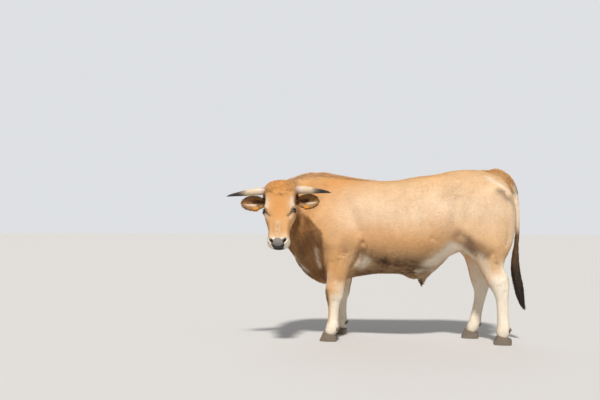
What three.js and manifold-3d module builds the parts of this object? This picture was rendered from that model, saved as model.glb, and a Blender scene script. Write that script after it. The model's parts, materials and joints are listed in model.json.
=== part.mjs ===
// A life-size standing steer of a light-fawn, horned beef breed, its head turned square to its left.
// Millimetres. While it is built, X runs from the chest to the tail, Y to the animal's right and Z up from the
// ground. At the end the whole animal is set on the middle of its footprint.
import * as THREE from "three";
import { mergeVertices } from "three/addons/utils/BufferGeometryUtils.js";
import Module from "manifold-3d";

const wasm = await Module();
wasm.setup();

// Driving dimensions.
const withersHeight = 1300; // the ground to the top of the shoulders, coat included
const gap = 0.5; // the thin cut between neighbouring parts
const legSides = 12; // corners round a leg
const bodySides = 22; // corners round the trunk
const headSides = 18; // corners round the neck and the head

const colours = {
  coat: 0xdcab74,
  paleCoat: 0xe9dccb,
  horn: 0xe4d8c2,
  hoof: 0x6b5d50,
  eye: 0x1a1210,
  switchHair: 0x2a1c15,
  tag: 0xe8952f,
};

const material = (colour, roughness) =>
  new THREE.MeshStandardMaterial({ color: colour, roughness, metalness: 0 });
const materials = {
  coat: material(colours.coat, 0.85),
  paleCoat: material(colours.paleCoat, 0.85),
  horn: material(colours.horn, 0.45),
  hoof: material(colours.hoof, 0.55),
  eye: material(colours.eye, 0.08),
  switchHair: material(colours.switchHair, 0.6),
  tag: material(colours.tag, 0.5),
};

const cow = new THREE.Group();

// ---- Lofts -------------------------------------------------------------------------------------------------

// A Catmull-Rom curve through one column of a list of stations.
function column(stations, name) {
  const points = stations.map((s) => new THREE.Vector3(s[name], 0, 0));
  return new THREE.CatmullRomCurve3(points, false, "catmullrom");
}

// Stations with rows added between them, so that every column runs smoothly from station to station.
function smoothStations(stations, rowsEach) {
  const names = Object.keys(stations[0]);
  const curves = names.map((name) => column(stations, name));
  const rows = (stations.length - 1) * rowsEach + 1;
  return Array.from({ length: rows }, (_, i) =>
    Object.fromEntries(names.map((name, k) => [name, curves[k].getPoint(i / (rows - 1)).x])),
  );
}

// One point of a section: an ellipse whose upper and lower halves have their own height and squareness.
// A power of 2 is round, more is boxy, less is pointed.
function sectionPoint(s, angle, grow) {
  const c = Math.cos(angle);
  const v = Math.sin(angle);
  const power = 2 / (v > 0 ? s.topPower : s.bottomPower);
  const height = (v > 0 ? s.top : s.bottom) + grow;
  const across = (s.half + grow) * Math.sign(c) * Math.abs(c) ** power;
  const along = height * Math.sign(v) * Math.abs(v) ** power;
  return s.at.clone().addScaledVector(s.across, across).addScaledVector(s.up, along);
}

// A closed solid from rings of points, each ring with as many points, and a middle point at each end.
function solidFromRings(rings) {
  const sides = rings[0].length;
  const middle = (ring) =>
    ring.reduce((sum, p) => sum.add(p), new THREE.Vector3()).divideScalar(ring.length);
  const points = [...rings.flat(), middle(rings[0]), middle(rings[rings.length - 1])];
  const first = points.length - 2;
  const last = points.length - 1;
  const faces = [];
  rings.slice(1).forEach((_, i) => {
    for (let k = 0; k < sides; k++) {
      const next = (k + 1) % sides;
      const [a, b] = [i * sides + k, i * sides + next];
      faces.push([a, b, b + sides], [a, b + sides, a + sides]);
    }
  });
  for (let k = 0; k < sides; k++) {
    const next = (k + 1) % sides;
    const end = (rings.length - 1) * sides;
    faces.push([first, next, k], [last, end + k, end + next]);
  }
  const geometry = new THREE.BufferGeometry().setFromPoints(points).setIndex(faces.flat());
  return solidFromGeometry(geometry);
}

function solidFromGeometry(geometry) {
  const bare = geometry.clone();
  bare.deleteAttribute("normal");
  bare.deleteAttribute("uv");
  const merged = mergeVertices(bare, 1e-3);
  const build = (triVerts) =>
    new wasm.Manifold(
      new wasm.Mesh({ numProp: 3, vertProperties: merged.attributes.position.array, triVerts }),
    );
  const triVerts = new Uint32Array(merged.index.array);
  const solid = build(triVerts);
  return solid.volume() > 0 ? solid : build(triVerts.reverse());
}

// A solid through a row of sections. With grow it is that much larger all round, its ends too.
function loft(sections, sides, grow = 0) {
  const turns = Array.from({ length: sides }, (_, k) => ((k + 0.5) * 2 * Math.PI) / sides);
  const rings = sections.map((s) => turns.map((angle) => sectionPoint(s, angle, grow)));
  const longer = (ring, end, next) => {
    const push = sections.at(end).at.clone().sub(sections.at(next).at).setLength(grow);
    ring.forEach((p) => p.add(push));
  };
  if (grow > 0) {
    longer(rings.at(0), 0, 1);
    longer(rings.at(-1), -1, -2);
  }
  return solidFromRings(rings);
}

// Everything on one side of a plane: a large box whose face lies on the plane.
function halfSpace(point, normal) {
  const reach = 4000;
  const box = new THREE.BoxGeometry(reach, reach, reach).translate(0, 0, reach / 2);
  const turn = new THREE.Quaternion().setFromUnitVectors(
    new THREE.Vector3(0, 0, 1),
    normal.clone().normalize(),
  );
  return solidFromGeometry(box.applyQuaternion(turn).translate(point.x, point.y, point.z));
}

// A solid parted in two by a thin cut: [the part the normal points to, the rest].
function part(solid, point, normal) {
  const step = normal.clone().normalize().multiplyScalar(gap / 2);
  const beyond = halfSpace(point.clone().add(step), normal);
  const before = halfSpace(point.clone().sub(step), normal.clone().negate());
  return [solid.intersect(beyond), solid.intersect(before)];
}

// A solid with a neighbour's room taken out of it. Crumbs that the cut leaves are dropped.
function clearOf(solid, neighbour) {
  const pieces = solid.subtract(neighbour).decompose();
  return pieces.reduce((a, b) => (a.volume() > b.volume() ? a : b));
}

function add(name, solid, finish) {
  const { vertProperties, triVerts, numProp, numVert } = solid.getMesh();
  const positions = new Float32Array(numVert * 3);
  for (let i = 0; i < numVert; i++) {
    positions.set(vertProperties.subarray(i * numProp, i * numProp + 3), i * 3);
  }
  const geometry = new THREE.BufferGeometry()
    .setAttribute("position", new THREE.BufferAttribute(positions, 3))
    .setIndex(new THREE.BufferAttribute(triVerts, 1));
  geometry.computeVertexNormals();
  const mesh = new THREE.Mesh(geometry, finish);
  mesh.name = name;
  cow.add(mesh);
}

const vector = (x, y, z) => new THREE.Vector3(x, y, z);

// ---- Trunk -------------------------------------------------------------------------------------------------

// Upright sections from the breast to the buttocks. top and bottom are heights over the ground, mid is where
// the body is widest and half its half width there.
const trunkStations = [
  { x: -78, top: 900, mid: 805, bottom: 716, half: 50, topPower: 2, bottomPower: 2 },
  { x: -52, top: 1000, mid: 805, bottom: 655, half: 116, topPower: 2, bottomPower: 1.9 },
  { x: -20, top: 1085, mid: 815, bottom: 578, half: 152, topPower: 1.9, bottomPower: 1.8 },
  { x: 30, top: 1190, mid: 825, bottom: 512, half: 192, topPower: 1.9, bottomPower: 1.8 },
  { x: 90, top: 1278, mid: 840, bottom: 462, half: 222, topPower: 1.8, bottomPower: 1.8 },
  { x: 180, top: withersHeight - 8, mid: 850, bottom: 420, half: 242, topPower: 1.7, bottomPower: 1.8 },
  { x: 300, top: 1270, mid: 850, bottom: 424, half: 256, topPower: 1.8, bottomPower: 1.9 },
  { x: 400, top: 1252, mid: 846, bottom: 458, half: 271, topPower: 1.95, bottomPower: 2.1 },
  { x: 500, top: 1236, mid: 840, bottom: 484, half: 289, topPower: 2.1, bottomPower: 2.15 },
  { x: 620, top: 1228, mid: 835, bottom: 500, half: 307, topPower: 2.15, bottomPower: 2.2 },
  { x: 760, top: 1231, mid: 835, bottom: 502, half: 320, topPower: 2.2, bottomPower: 2.2 },
  { x: 920, top: 1257, mid: 850, bottom: 500, half: 316, topPower: 2.25, bottomPower: 2.1 },
  { x: 1060, top: 1272, mid: 890, bottom: 556, half: 298, topPower: 2.4, bottomPower: 2 },
  { x: 1170, top: 1294, mid: 960, bottom: 640, half: 280, topPower: 2.6, bottomPower: 2 },
  { x: 1290, top: 1305, mid: 1010, bottom: 690, half: 262, topPower: 2.5, bottomPower: 2 },
  { x: 1410, top: 1302, mid: 1030, bottom: 730, half: 236, topPower: 2.3, bottomPower: 2 },
  { x: 1510, top: 1278, mid: 1030, bottom: 780, half: 192, topPower: 2.2, bottomPower: 2 },
  { x: 1560, top: 1240, mid: 1022, bottom: 815, half: 168, topPower: 2.2, bottomPower: 2 },
  { x: 1600, top: 1186, mid: 1010, bottom: 858, half: 132, topPower: 2.1, bottomPower: 2 },
  { x: 1630, top: 1110, mid: 1000, bottom: 910, half: 85, topPower: 2, bottomPower: 2 },
];

const uprightSection = (s) => ({
  ...s,
  at: vector(s.x, 0, s.mid),
  across: vector(0, 1, 0),
  up: vector(0, 0, 1),
  top: s.top - s.mid,
  bottom: s.mid - s.bottom,
});
const trunkSections = trunkStations.map(uprightSection);
const trunkLoft = loft(trunkSections, bodySides);
const trunkRoom = loft(trunkSections, bodySides, gap);

// ---- Legs --------------------------------------------------------------------------------------------------

// Level sections down a leg. front and back are along the body, y is the distance of the leg's middle from
// the body's, and half its half width.
const foreUpper = [
  { z: 1010, front: 190, back: 400, y: 150, half: 70 },
  { z: 940, front: 118, back: 450, y: 164, half: 88 },
  { z: 850, front: 88, back: 488, y: 174, half: 98 },
  { z: 760, front: 122, back: 506, y: 180, half: 98 },
  { z: 690, front: 200, back: 492, y: 184, half: 86 },
  { z: 620, front: 236, back: 466, y: 186, half: 74 },
  { z: 545, front: 242, back: 430, y: 188, half: 64 },
];
const foreLower = [
  { z: 480, front: 240, back: 404, y: 189, half: 57 },
  { z: 430, front: 233, back: 392, y: 190, half: 54 },
  { z: 380, front: 227, back: 378, y: 190, half: 55 },
  { z: 330, front: 232, back: 368, y: 190, half: 50 },
  { z: 285, front: 243, back: 348, y: 190, half: 41 },
  { z: 225, front: 250, back: 337, y: 190, half: 36 },
  { z: 160, front: 244, back: 334, y: 190, half: 38 },
  { z: 118, front: 234, back: 336, y: 190, half: 46 },
  { z: 85, front: 226, back: 334, y: 190, half: 46 },
  { z: 45, front: 214, back: 330, y: 190, half: 46 },
];
const hindUpper = [
  { z: 1190, front: 1330, back: 1540, y: 90, half: 85 },
  { z: 1110, front: 1225, back: 1618, y: 128, half: 112 },
  { z: 990, front: 1196, back: 1646, y: 146, half: 122 },
  { z: 870, front: 1192, back: 1642, y: 152, half: 120 },
  { z: 770, front: 1210, back: 1626, y: 156, half: 110 },
  { z: 695, front: 1252, back: 1600, y: 156, half: 94 },
  { z: 635, front: 1322, back: 1572, y: 155, half: 76 },
  { z: 580, front: 1362, back: 1560, y: 154, half: 62 },
];
const hindLower = [
  { z: 535, front: 1388, back: 1572, y: 152, half: 54 },
  { z: 490, front: 1412, back: 1594, y: 151, half: 51 },
  { z: 430, front: 1445, back: 1598, y: 150, half: 49 },
  { z: 370, front: 1480, back: 1595, y: 150, half: 42 },
  { z: 305, front: 1499, back: 1592, y: 150, half: 36 },
  { z: 205, front: 1505, back: 1594, y: 150, half: 36 },
  { z: 145, front: 1504, back: 1602, y: 150, half: 44 },
  { z: 100, front: 1498, back: 1606, y: 150, half: 47 },
  { z: 45, front: 1484, back: 1600, y: 150, half: 47 },
];

// The same leg set further along the body: nothing at the top station, all of the reach at the ground.
const stepLeg = (stations, reach, from) =>
  stations.map((s) => {
    const share = Math.min(1, Math.max(0, (from - s.z) / from));
    return { ...s, front: s.front + reach * share, back: s.back + reach * share };
  });

const levelSection = (side) => (s) => ({
  at: vector((s.front + s.back) / 2, side * s.y, s.z),
  across: vector(0, 1, 0),
  up: vector(-1, 0, 0),
  half: s.half,
  top: (s.back - s.front) / 2,
  bottom: (s.back - s.front) / 2,
  topPower: 2.2,
  bottomPower: 2,
});

// Each leg's pattern, which side it is on, how far it is set off the pattern along the body and how much further
// its foot reaches, the heights it is parted at and where the front of its hoof is on the pattern.
const stances = {
  fore_left: { side: -1, upper: foreUpper, lower: foreLower, reach: 0, set: 0, cuts: [640, 405], hoofFront: 187 },
  fore_right: { side: 1, upper: foreUpper, lower: foreLower, reach: 48, set: -22, cuts: [640, 405], hoofFront: 187 },
  hind_left: { side: -1, upper: hindUpper, lower: hindLower, reach: 0, set: 0, cuts: [690, 505], hoofFront: 1478 },
  hind_right: { side: 1, upper: hindUpper, lower: hindLower, reach: -226, set: 0, cuts: [690, 505], hoofFront: 1478 },
};
const segmentNames = {
  fore: ["shoulder", "forearm", "cannon"],
  hind: ["thigh", "gaskin", "cannon"],
};
const reachStart = 760; // a leg begins to stand off its pattern below this height

// How far a point of the leg at some height stands off the pattern.
function standOff(stance, z) {
  return stance.set + stance.reach * Math.max(0, (reachStart - z) / reachStart) ** 0.8;
}

function legSections(stance) {
  return [...stance.upper, ...stance.lower].map((s) => ({
    at: vector((s.front + s.back) / 2 + standOff(stance, s.z), stance.side * s.y, s.z),
    across: vector(0, 1, 0),
    up: vector(-1, 0, 0),
    half: s.half,
    top: (s.back - s.front) / 2,
    bottom: (s.back - s.front) / 2,
    topPower: 2.2,
    bottomPower: 2,
  }));
}

// The hoof: two claws side by side, flat on the ground, under a coronet that slopes down to the heel.
const hoof = { length: 132, halfWidth: 56, cleft: 5, coronetFront: 80, coronetSlope: 0.3, rise: 90, lean: 0.42 };

// Rings of one claw from the sole up. It leans back as it rises and its toe is rounded.
function clawSolid(stance, clawSide) {
  const outerHalf = (hoof.halfWidth - hoof.cleft / 2) / 2;
  const centreY = stance.side * stance.lower[stance.lower.length - 1].y + clawSide * (hoof.cleft / 2 + outerHalf);
  const rows = [0, 12, 45, hoof.rise];
  const sections = rows.map((z, i) => {
    const narrow = 1 - 0.16 * (z / hoof.rise);
    const front = stance.hoofFront + standOff(stance, 0) + hoof.lean * z;
    const back = stance.hoofFront + standOff(stance, 0) + hoof.length + 0.04 * z;
    return {
      at: vector((front + back) / 2, centreY - clawSide * outerHalf * (1 - narrow), z),
      across: vector(0, 1, 0),
      up: vector(-1, 0, 0),
      half: outerHalf * narrow * (i === 0 ? 0.94 : 1),
      top: ((back - front) / 2) * (i === 0 ? 0.97 : 1),
      bottom: ((back - front) / 2) * (i === 0 ? 0.97 : 1),
      topPower: 1.7,
      bottomPower: 2.6,
    };
  });
  return loft(sections, 10);
}

// One of the two small claws behind a fetlock.
function dewclawSolid(at, grow) {
  const nub = new THREE.SphereGeometry(1, 6, 5).scale(13 + grow, 11 + grow, 18 + grow);
  return solidFromGeometry(nub.rotateY(0.5).translate(at.x, at.y, at.z));
}

const legs = Object.entries(stances).map(([name, stance]) => {
  const coronet = vector(stance.hoofFront + standOff(stance, 0), 0, hoof.coronetFront);
  const coronetNormal = vector(hoof.coronetSlope, 0, 1);
  const sections = legSections(stance);
  const whole = part(loft(sections, legSides), coronet, coronetNormal)[0];
  const clawSides = [stance.side, -stance.side];
  const claws = clawSides.map((clawSide) =>
    part(clawSolid(stance, clawSide), coronet, coronetNormal)[1],
  );
  const fetlock = stance.lower[stance.lower.length - 2];
  const dewclaws = clawSides.map((clawSide) =>
    vector(
      fetlock.back - 9 + standOff(stance, fetlock.z),
      stance.side * fetlock.y + clawSide * 25,
      fetlock.z + 6,
    ),
  );
  return { name, stance, sections, whole, claws, dewclaws };
});

// ---- Neck --------------------------------------------------------------------------------------------------

// Upright sections from inside the shoulders to behind the jaw. turn is the way the section faces in degrees:
// 0 is straight ahead and 90 is to the animal's left.
const neckStations = [
  { turn: 0, x: 190, y: 0, z: 880, half: 150, top: 400, bottom: 380, topPower: 1.7, bottomPower: 1.8 },
  { turn: 8, x: 70, y: -8, z: 880, half: 186, top: 414, bottom: 395, topPower: 1.6, bottomPower: 1.8 },
  { turn: 28, x: 0, y: -42, z: 900, half: 164, top: 372, bottom: 318, topPower: 1.6, bottomPower: 1.8 },
  { turn: 55, x: -62, y: -122, z: 930, half: 136, top: 310, bottom: 225, topPower: 1.6, bottomPower: 1.8 },
  { turn: 75, x: -76, y: -240, z: 965, half: 117, top: 240, bottom: 178, topPower: 1.7, bottomPower: 1.8 },
  { turn: 88, x: -66, y: -370, z: 1000, half: 104, top: 186, bottom: 180, topPower: 1.8, bottomPower: 1.9 },
  { turn: 92, x: -50, y: -500, z: 1030, half: 92, top: 140, bottom: 130, topPower: 1.9, bottomPower: 2 },
  { turn: 92, x: -47, y: -570, z: 1045, half: 60, top: 90, bottom: 80, topPower: 2, bottomPower: 2 },
];

const headingSection = (s) => {
  const turn = THREE.MathUtils.degToRad(s.turn);
  return {
    ...s,
    at: vector(s.x, s.y, s.z),
    across: vector(-Math.sin(turn), Math.cos(turn), 0),
    up: vector(0, 0, 1),
  };
};
const neckSections = smoothStations(neckStations, 2).map(headingSection);
const neckLoft = loft(neckSections, headSides);

// ---- Head --------------------------------------------------------------------------------------------------

// The head's own frame: down runs from the poll to the muzzle, out stands off the forehead, and right is the
// animal's right. The head faces the animal's left, hangs with its face at a slant and is tipped a little.
const headAt = vector(-50, -552, 1204);
const headTurn = THREE.MathUtils.degToRad(93.4);
const headSlant = THREE.MathUtils.degToRad(30);
const headTip = THREE.MathUtils.degToRad(1.8);

const facing = vector(-Math.cos(headTurn), -Math.sin(headTurn), 0);
const tipped = (v) => v.applyAxisAngle(facing, headTip);
const upward = vector(0, 0, 1);
const headRight = tipped(facing.clone().cross(upward));
const headDown = tipped(
  upward.clone().multiplyScalar(-Math.cos(headSlant)).addScaledVector(facing, Math.sin(headSlant)),
);
const headOut = tipped(
  upward.clone().multiplyScalar(Math.sin(headSlant)).addScaledVector(facing, Math.cos(headSlant)),
);
const headPoint = (down, right, out) =>
  headAt
    .clone()
    .addScaledVector(headDown, down)
    .addScaledVector(headRight, right)
    .addScaledVector(headOut, out);
const headFrame = (down, right, out) =>
  new THREE.Matrix4().makeBasis(headDown, headRight, headOut).setPosition(headPoint(down, right, out));

// Sections from the poll to the muzzle. face, mid and jaw are distances off the line of the forehead.
const headStations = [
  { down: -16, face: -42, mid: -72, jaw: -105, half: 60, topPower: 2.2, bottomPower: 2 },
  { down: -8, face: -20, mid: -68, jaw: -135, half: 90, topPower: 2.2, bottomPower: 2 },
  { down: 4, face: -8, mid: -66, jaw: -160, half: 108, topPower: 2.2, bottomPower: 2 },
  { down: 40, face: 6, mid: -62, jaw: -196, half: 126, topPower: 2.1, bottomPower: 2 },
  { down: 90, face: 6, mid: -62, jaw: -226, half: 119, topPower: 2.3, bottomPower: 2 },
  { down: 145, face: 3, mid: -62, jaw: -244, half: 115, topPower: 2.5, bottomPower: 2 },
  { down: 195, face: 0, mid: -64, jaw: -250, half: 118, topPower: 2.6, bottomPower: 1.9 },
  { down: 240, face: 0, mid: -68, jaw: -240, half: 115, topPower: 2.4, bottomPower: 1.8 },
  { down: 288, face: 2, mid: -72, jaw: -207, half: 101, topPower: 2.3, bottomPower: 1.8 },
  { down: 336, face: 3, mid: -74, jaw: -175, half: 86, topPower: 2.3, bottomPower: 1.8 },
  { down: 382, face: 1, mid: -76, jaw: -155, half: 78, topPower: 2.4, bottomPower: 2 },
  { down: 425, face: -3, mid: -80, jaw: -150, half: 80, topPower: 2.6, bottomPower: 2.2 },
  { down: 462, face: -12, mid: -84, jaw: -150, half: 82, topPower: 2.6, bottomPower: 2.2 },
  { down: 490, face: -28, mid: -86, jaw: -138, half: 70, topPower: 2.4, bottomPower: 2.2 },
  { down: 503, face: -52, mid: -88, jaw: -120, half: 42, topPower: 2.2, bottomPower: 2 },
];
const faceSection = (s) => ({
  ...s,
  at: headPoint(s.down, 0, s.mid),
  across: headRight.clone(),
  up: headOut.clone(),
  top: s.face - s.mid,
  bottom: s.mid - s.jaw,
});

const blob = (radii, at, width = 8, height = 6) =>
  solidFromGeometry(
    new THREE.SphereGeometry(1, width, height).scale(...radii).applyMatrix4(headFrame(...at)),
  );

const eyeAt = (side) => [232, side * 99, -48];
const eyeRadius = 20;
const browSolid = (side, grow) => blob([46 + grow, 31 + grow, 32 + grow], [213, side * 92, -42]);
const nostrilRadii = [17, 9, 15];

const headRows = headStations.map(faceSection);
let headSolid = loft(headRows, headSides);
for (const side of [-1, 1]) {
  headSolid = headSolid.add(browSolid(side, 0));
}
for (const side of [-1, 1]) {
  headSolid = headSolid.subtract(blob(nostrilRadii, [478, side * 47, -32]));
}

// ---- Horns -------------------------------------------------------------------------------------------------

// A horn sweeps out, then forward and a little down. Each row: distance down the head, out to the side and off
// the forehead, and the radius there.
const hornStations = [
  { down: 48, right: 84, out: -60, radius: 29 },
  { down: 50, right: 138, out: -54, radius: 29 },
  { down: 62, right: 190, out: -40, radius: 27 },
  { down: 84, right: 246, out: -16, radius: 22 },
  { down: 108, right: 306, out: 10, radius: 14.5 },
  { down: 128, right: 350, out: 30, radius: 8.5 },
  { down: 143, right: 373, out: 42, radius: 2.5 },
];

// Sections square to a path of rows with a point, a half width and a half depth each.
function pathSections(rows, sideways) {
  return rows.map((s, i) => {
    const before = rows[Math.max(0, i - 1)].at;
    const after = rows[Math.min(rows.length - 1, i + 1)].at;
    const along = after.clone().sub(before).normalize();
    const up = along.clone().cross(sideways).normalize();
    const across = up.clone().cross(along);
    return { at: s.at, across, up, half: s.half, top: s.depth, bottom: s.depth, topPower: 2, bottomPower: 2 };
  });
}

function hornSolid(side, grow) {
  const rows = hornStations.map((s) => ({
    at: headPoint(s.down, side * s.right, s.out),
    half: s.radius,
    depth: s.radius,
  }));
  return loft(pathSections(rows, headDown), 10, grow);
}

// ---- Ears --------------------------------------------------------------------------------------------------

// An ear is a cupped leaf, its hollow facing forward. Each row: share of its length, half its height, the
// depth of its cup and its thickness in the middle.
const earStations = [
  { share: 0, half: 20, cup: 26, thick: 22 },
  { share: 0.15, half: 33, cup: 35, thick: 14 },
  { share: 0.33, half: 47, cup: 36, thick: 9 },
  { share: 0.55, half: 54, cup: 31, thick: 8 },
  { share: 0.75, half: 47, cup: 21, thick: 7 },
  { share: 0.92, half: 28, cup: 10, thick: 6 },
  { share: 1, half: 7, cup: 3, thick: 4 },
];
const ear = { root: [112, 96, -112], tip: [152, 282, -50], rimThick: 3.5, steps: 5 };

function earSolid(side) {
  const root = headPoint(ear.root[0], side * ear.root[1], ear.root[2]);
  const tip = headPoint(ear.tip[0], side * ear.tip[1], ear.tip[2]);
  const along = tip.clone().sub(root).normalize();
  const back = facing.clone().negate();
  back.addScaledVector(along, -back.dot(along)).normalize();
  const rise = along.clone().cross(back).multiplyScalar(-side).normalize();
  const rings = earStations.map((s) => {
    const centre = root.clone().lerp(tip, s.share);
    const edge = (u, thick) =>
      centre
        .clone()
        .addScaledVector(rise, u * s.half)
        .addScaledVector(back, s.cup * (1 - u * u) + thick / 2);
    const steps = Array.from({ length: ear.steps + 1 }, (_, i) => -1 + (2 * i) / ear.steps);
    const thickness = (u) => ear.rimThick + (s.thick - ear.rimThick) * (1 - u * u);
    const outer = steps.map((u) => edge(u, thickness(u)));
    const inner = steps.reverse().map((u) => edge(u, -thickness(u)));
    return [...outer, ...inner];
  });
  return { solid: solidFromRings(rings), root, tip, along, back, rise };
}

// A blank plastic tag hangs from a stud in the lower half of each ear.
const tag = { width: 36, height: 34, thick: 3, corner: 7, stud: 5, studLength: 48 };
Object.assign(tag, { share: 0.48, low: 36, drop: 10, standOff: -2 });

function tagSolid(leaf, grow) {
  const low = leaf.rise.clone().multiplyScalar(-tag.low);
  const at = leaf.root.clone().lerp(leaf.tip, tag.share).add(low);
  const [w, h, r] = [tag.width / 2 + grow, tag.height / 2 + grow, tag.corner];
  const face = new THREE.Shape();
  face.absarc(w - r, h - r, r, 0, Math.PI / 2);
  face.absarc(-w + r, h - r, r, Math.PI / 2, Math.PI);
  face.absarc(-w + r, -h + r, r, Math.PI, 1.5 * Math.PI);
  face.absarc(w - r, -h + r, r, 1.5 * Math.PI, 2 * Math.PI);
  const thick = tag.thick + 2 * grow;
  const plate = new THREE.ExtrudeGeometry(face, { depth: thick, bevelEnabled: false, curveSegments: 2 });
  const stud = new THREE.CylinderGeometry(tag.stud + grow, tag.stud + grow, tag.studLength, 8);
  plate.translate(0, -tag.drop, tag.standOff - thick / 2);
  stud.rotateX(Math.PI / 2).translate(0, 0, tag.standOff - tag.studLength / 2);
  // The tag's own z looks out of the ear's hollow.
  const front = leaf.back.clone().negate();
  const basis = new THREE.Matrix4().makeBasis(leaf.rise.clone().cross(front), leaf.rise, front);
  const parts = [plate, stud].map((piece) => solidFromGeometry(piece.applyMatrix4(basis.setPosition(at))));
  return parts[0].add(parts[1]);
}

// ---- Tail --------------------------------------------------------------------------------------------------

// The tail leaves the top of the rump, hangs close behind the thighs and ends in a brush of long hair.
const tailStations = [
  { x: 1425, z: 1248, half: 30, depth: 36 },
  { x: 1500, z: 1266, half: 42, depth: 42 },
  { x: 1562, z: 1246, half: 41, depth: 38 },
  { x: 1614, z: 1192, half: 34, depth: 32 },
  { x: 1646, z: 1115, half: 28, depth: 27 },
  { x: 1661, z: 1025, half: 23, depth: 23 },
  { x: 1667, z: 930, half: 20, depth: 20 },
  { x: 1667, z: 840, half: 19, depth: 20 },
  { x: 1660, z: 750, half: 20, depth: 21 },
  { x: 1652, z: 660, half: 26, depth: 27 },
  { x: 1650, z: 580, half: 33, depth: 32 },
  { x: 1658, z: 500, half: 38, depth: 36 },
  { x: 1674, z: 420, half: 38, depth: 36 },
  { x: 1688, z: 340, half: 30, depth: 29 },
  { x: 1704, z: 280, half: 18, depth: 18 },
  { x: 1722, z: 236, half: 5, depth: 5 },
];
const switchTop = vector(1662, 0, 770);

const midPlaneRow = (s) => ({ ...s, at: vector(s.x, 0, s.z) });
const sideways = vector(0, 1, 0);
const tailSections = pathSections(tailStations.map(midPlaneRow), sideways);
const tailLoft = loft(tailSections, 8);
const tailRoom = loft(tailSections, 8, gap);

// ---- Sheath ------------------------------------------------------------------------------------------------

// The sheath hangs behind the navel and ends in a tuft of hair. A flap of skin runs into it from the navel in
// front, and a taut fold joins it to the belly behind.
const navelFlapStations = [
  { x: 800, z: 525, half: 26, depth: 22 },
  { x: 850, z: 516, half: 44, depth: 42 },
  { x: 900, z: 507, half: 46, depth: 46 },
  { x: 930, z: 489, half: 36, depth: 34 },
  { x: 946, z: 460, half: 20, depth: 18 },
];
const sheathFoldStations = [
  { x: 1130, z: 632, half: 34, depth: 20 },
  { x: 1095, z: 606, half: 40, depth: 28 },
  { x: 1034, z: 561, half: 44, depth: 36 },
  { x: 987, z: 520, half: 40, depth: 34 },
  { x: 961, z: 479, half: 28, depth: 25 },
  { x: 953, z: 448, half: 17, depth: 15 },
  { x: 950, z: 426, half: 9, depth: 8 },
  { x: 948, z: 410, half: 3, depth: 3 },
];
const sheathSolid = wasm.Manifold.union(
  [navelFlapStations, sheathFoldStations].map((stations) =>
    loft(pathSections(stations.map(midPlaneRow), sideways), 10),
  ),
);

// ---- Parting the animal ------------------------------------------------------------------------------------

// What a solid keeps when the rooms of its neighbours are taken out of it.
const keptOf = (solid, rooms) => clearOf(solid, wasm.Manifold.union(rooms)).simplify(gap / 3);

const legRooms = legs.map((leg) => loft(leg.sections, legSides, gap));
const sides = { left: -1, right: 1 };
const brows = Object.values(sides).map((side) => browSolid(side, gap));
const headRoom = wasm.Manifold.union([loft(headRows, headSides, gap), ...brows]);
const neckRoom = loft(neckSections, headSides, gap);
const hornRooms = Object.values(sides).map((side) => hornSolid(side, gap));
const eyeBall = (side, radius) => blob([radius, radius, radius], eyeAt(side), 10, 7);
const eyeRooms = Object.values(sides).map((side) => eyeBall(side, eyeRadius + gap));

add("trunk", keptOf(trunkLoft, [...legRooms, tailRoom]), materials.coat);
add("neck", keptOf(neckLoft, [trunkRoom, headRoom, ...legRooms]), materials.coat);
add("head", keptOf(headSolid, [...hornRooms, ...eyeRooms]), materials.coat);
add("sheath", keptOf(sheathSolid, [trunkRoom]), materials.coat);

const [brush, tailUpper] = part(tailLoft, switchTop, vector(0, 0, -1));
add("tail", tailUpper, materials.coat);
add("tail_switch", brush, materials.switchHair);

for (const leg of legs) {
  const [kind, sideName] = leg.name.split("_");
  const dewclawRooms = leg.dewclaws.map((at) => dewclawSolid(at, gap));
  const rooms = [tailRoom, ...dewclawRooms];
  let rest = keptOf(leg.whole, rooms);
  segmentNames[kind].forEach((segment, i) => {
    const height = leg.stance.cuts[i];
    const [above, below] = height ? part(rest, vector(0, 0, height), upward) : [rest, null];
    const finish = segment === "cannon" ? materials.paleCoat : materials.coat;
    const name = segment === "cannon" ? `cannon_${kind}_${sideName}` : `${segment}_${sideName}`;
    add(name, above, finish);
    rest = below;
  });
  const place = ["outer", "inner"];
  leg.claws.forEach((claw, i) => {
    add(`claw_${kind}_${sideName}_${place[i]}`, claw, materials.hoof);
  });
  leg.dewclaws.forEach((at, i) => {
    add(`dewclaw_${kind}_${sideName}_${place[i]}`, dewclawSolid(at, 0), materials.hoof);
  });
}

for (const [sideName, side] of Object.entries(sides)) {
  add(`horn_${sideName}`, hornSolid(side, 0), materials.horn);
  add(`eye_${sideName}`, eyeBall(side, eyeRadius), materials.eye);
  const leaf = earSolid(side);
  const earRooms = [headRoom, neckRoom, ...hornRooms, tagSolid(leaf, gap)];
  add(`ear_${sideName}`, keptOf(leaf.solid, earRooms), materials.coat);
  add(`ear_tag_${sideName}`, tagSolid(leaf, 0), materials.tag);
}

// The animal stands on the ground with the middle of its footprint at the origin.
const bounds = new THREE.Box3().setFromObject(cow);
const middle = bounds.getCenter(new THREE.Vector3());
for (const mesh of cow.children) {
  mesh.geometry.translate(-middle.x, -middle.y, -bounds.min.z);
}

export default cow;
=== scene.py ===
# %% [markdown]
# # A standing steer with a light fawn coat
#
# The real animal is one continuous skin over muscle and bone, with short hair lying flat almost everywhere and
# longer hair on the poll, the crest, the tail head, the ears and the tip of the tail. The solids of the frame
# give the outline out to the tips of the hair, so the skin here is the same set of lofts drawn a few millimetres
# smaller, melted into one surface, and then modelled: muscles, folds, eye sockets, lids, nostrils. Hair is
# thousands of small closed blades that follow the lie of the coat.

# %% Load the frame
import json
import math

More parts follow.
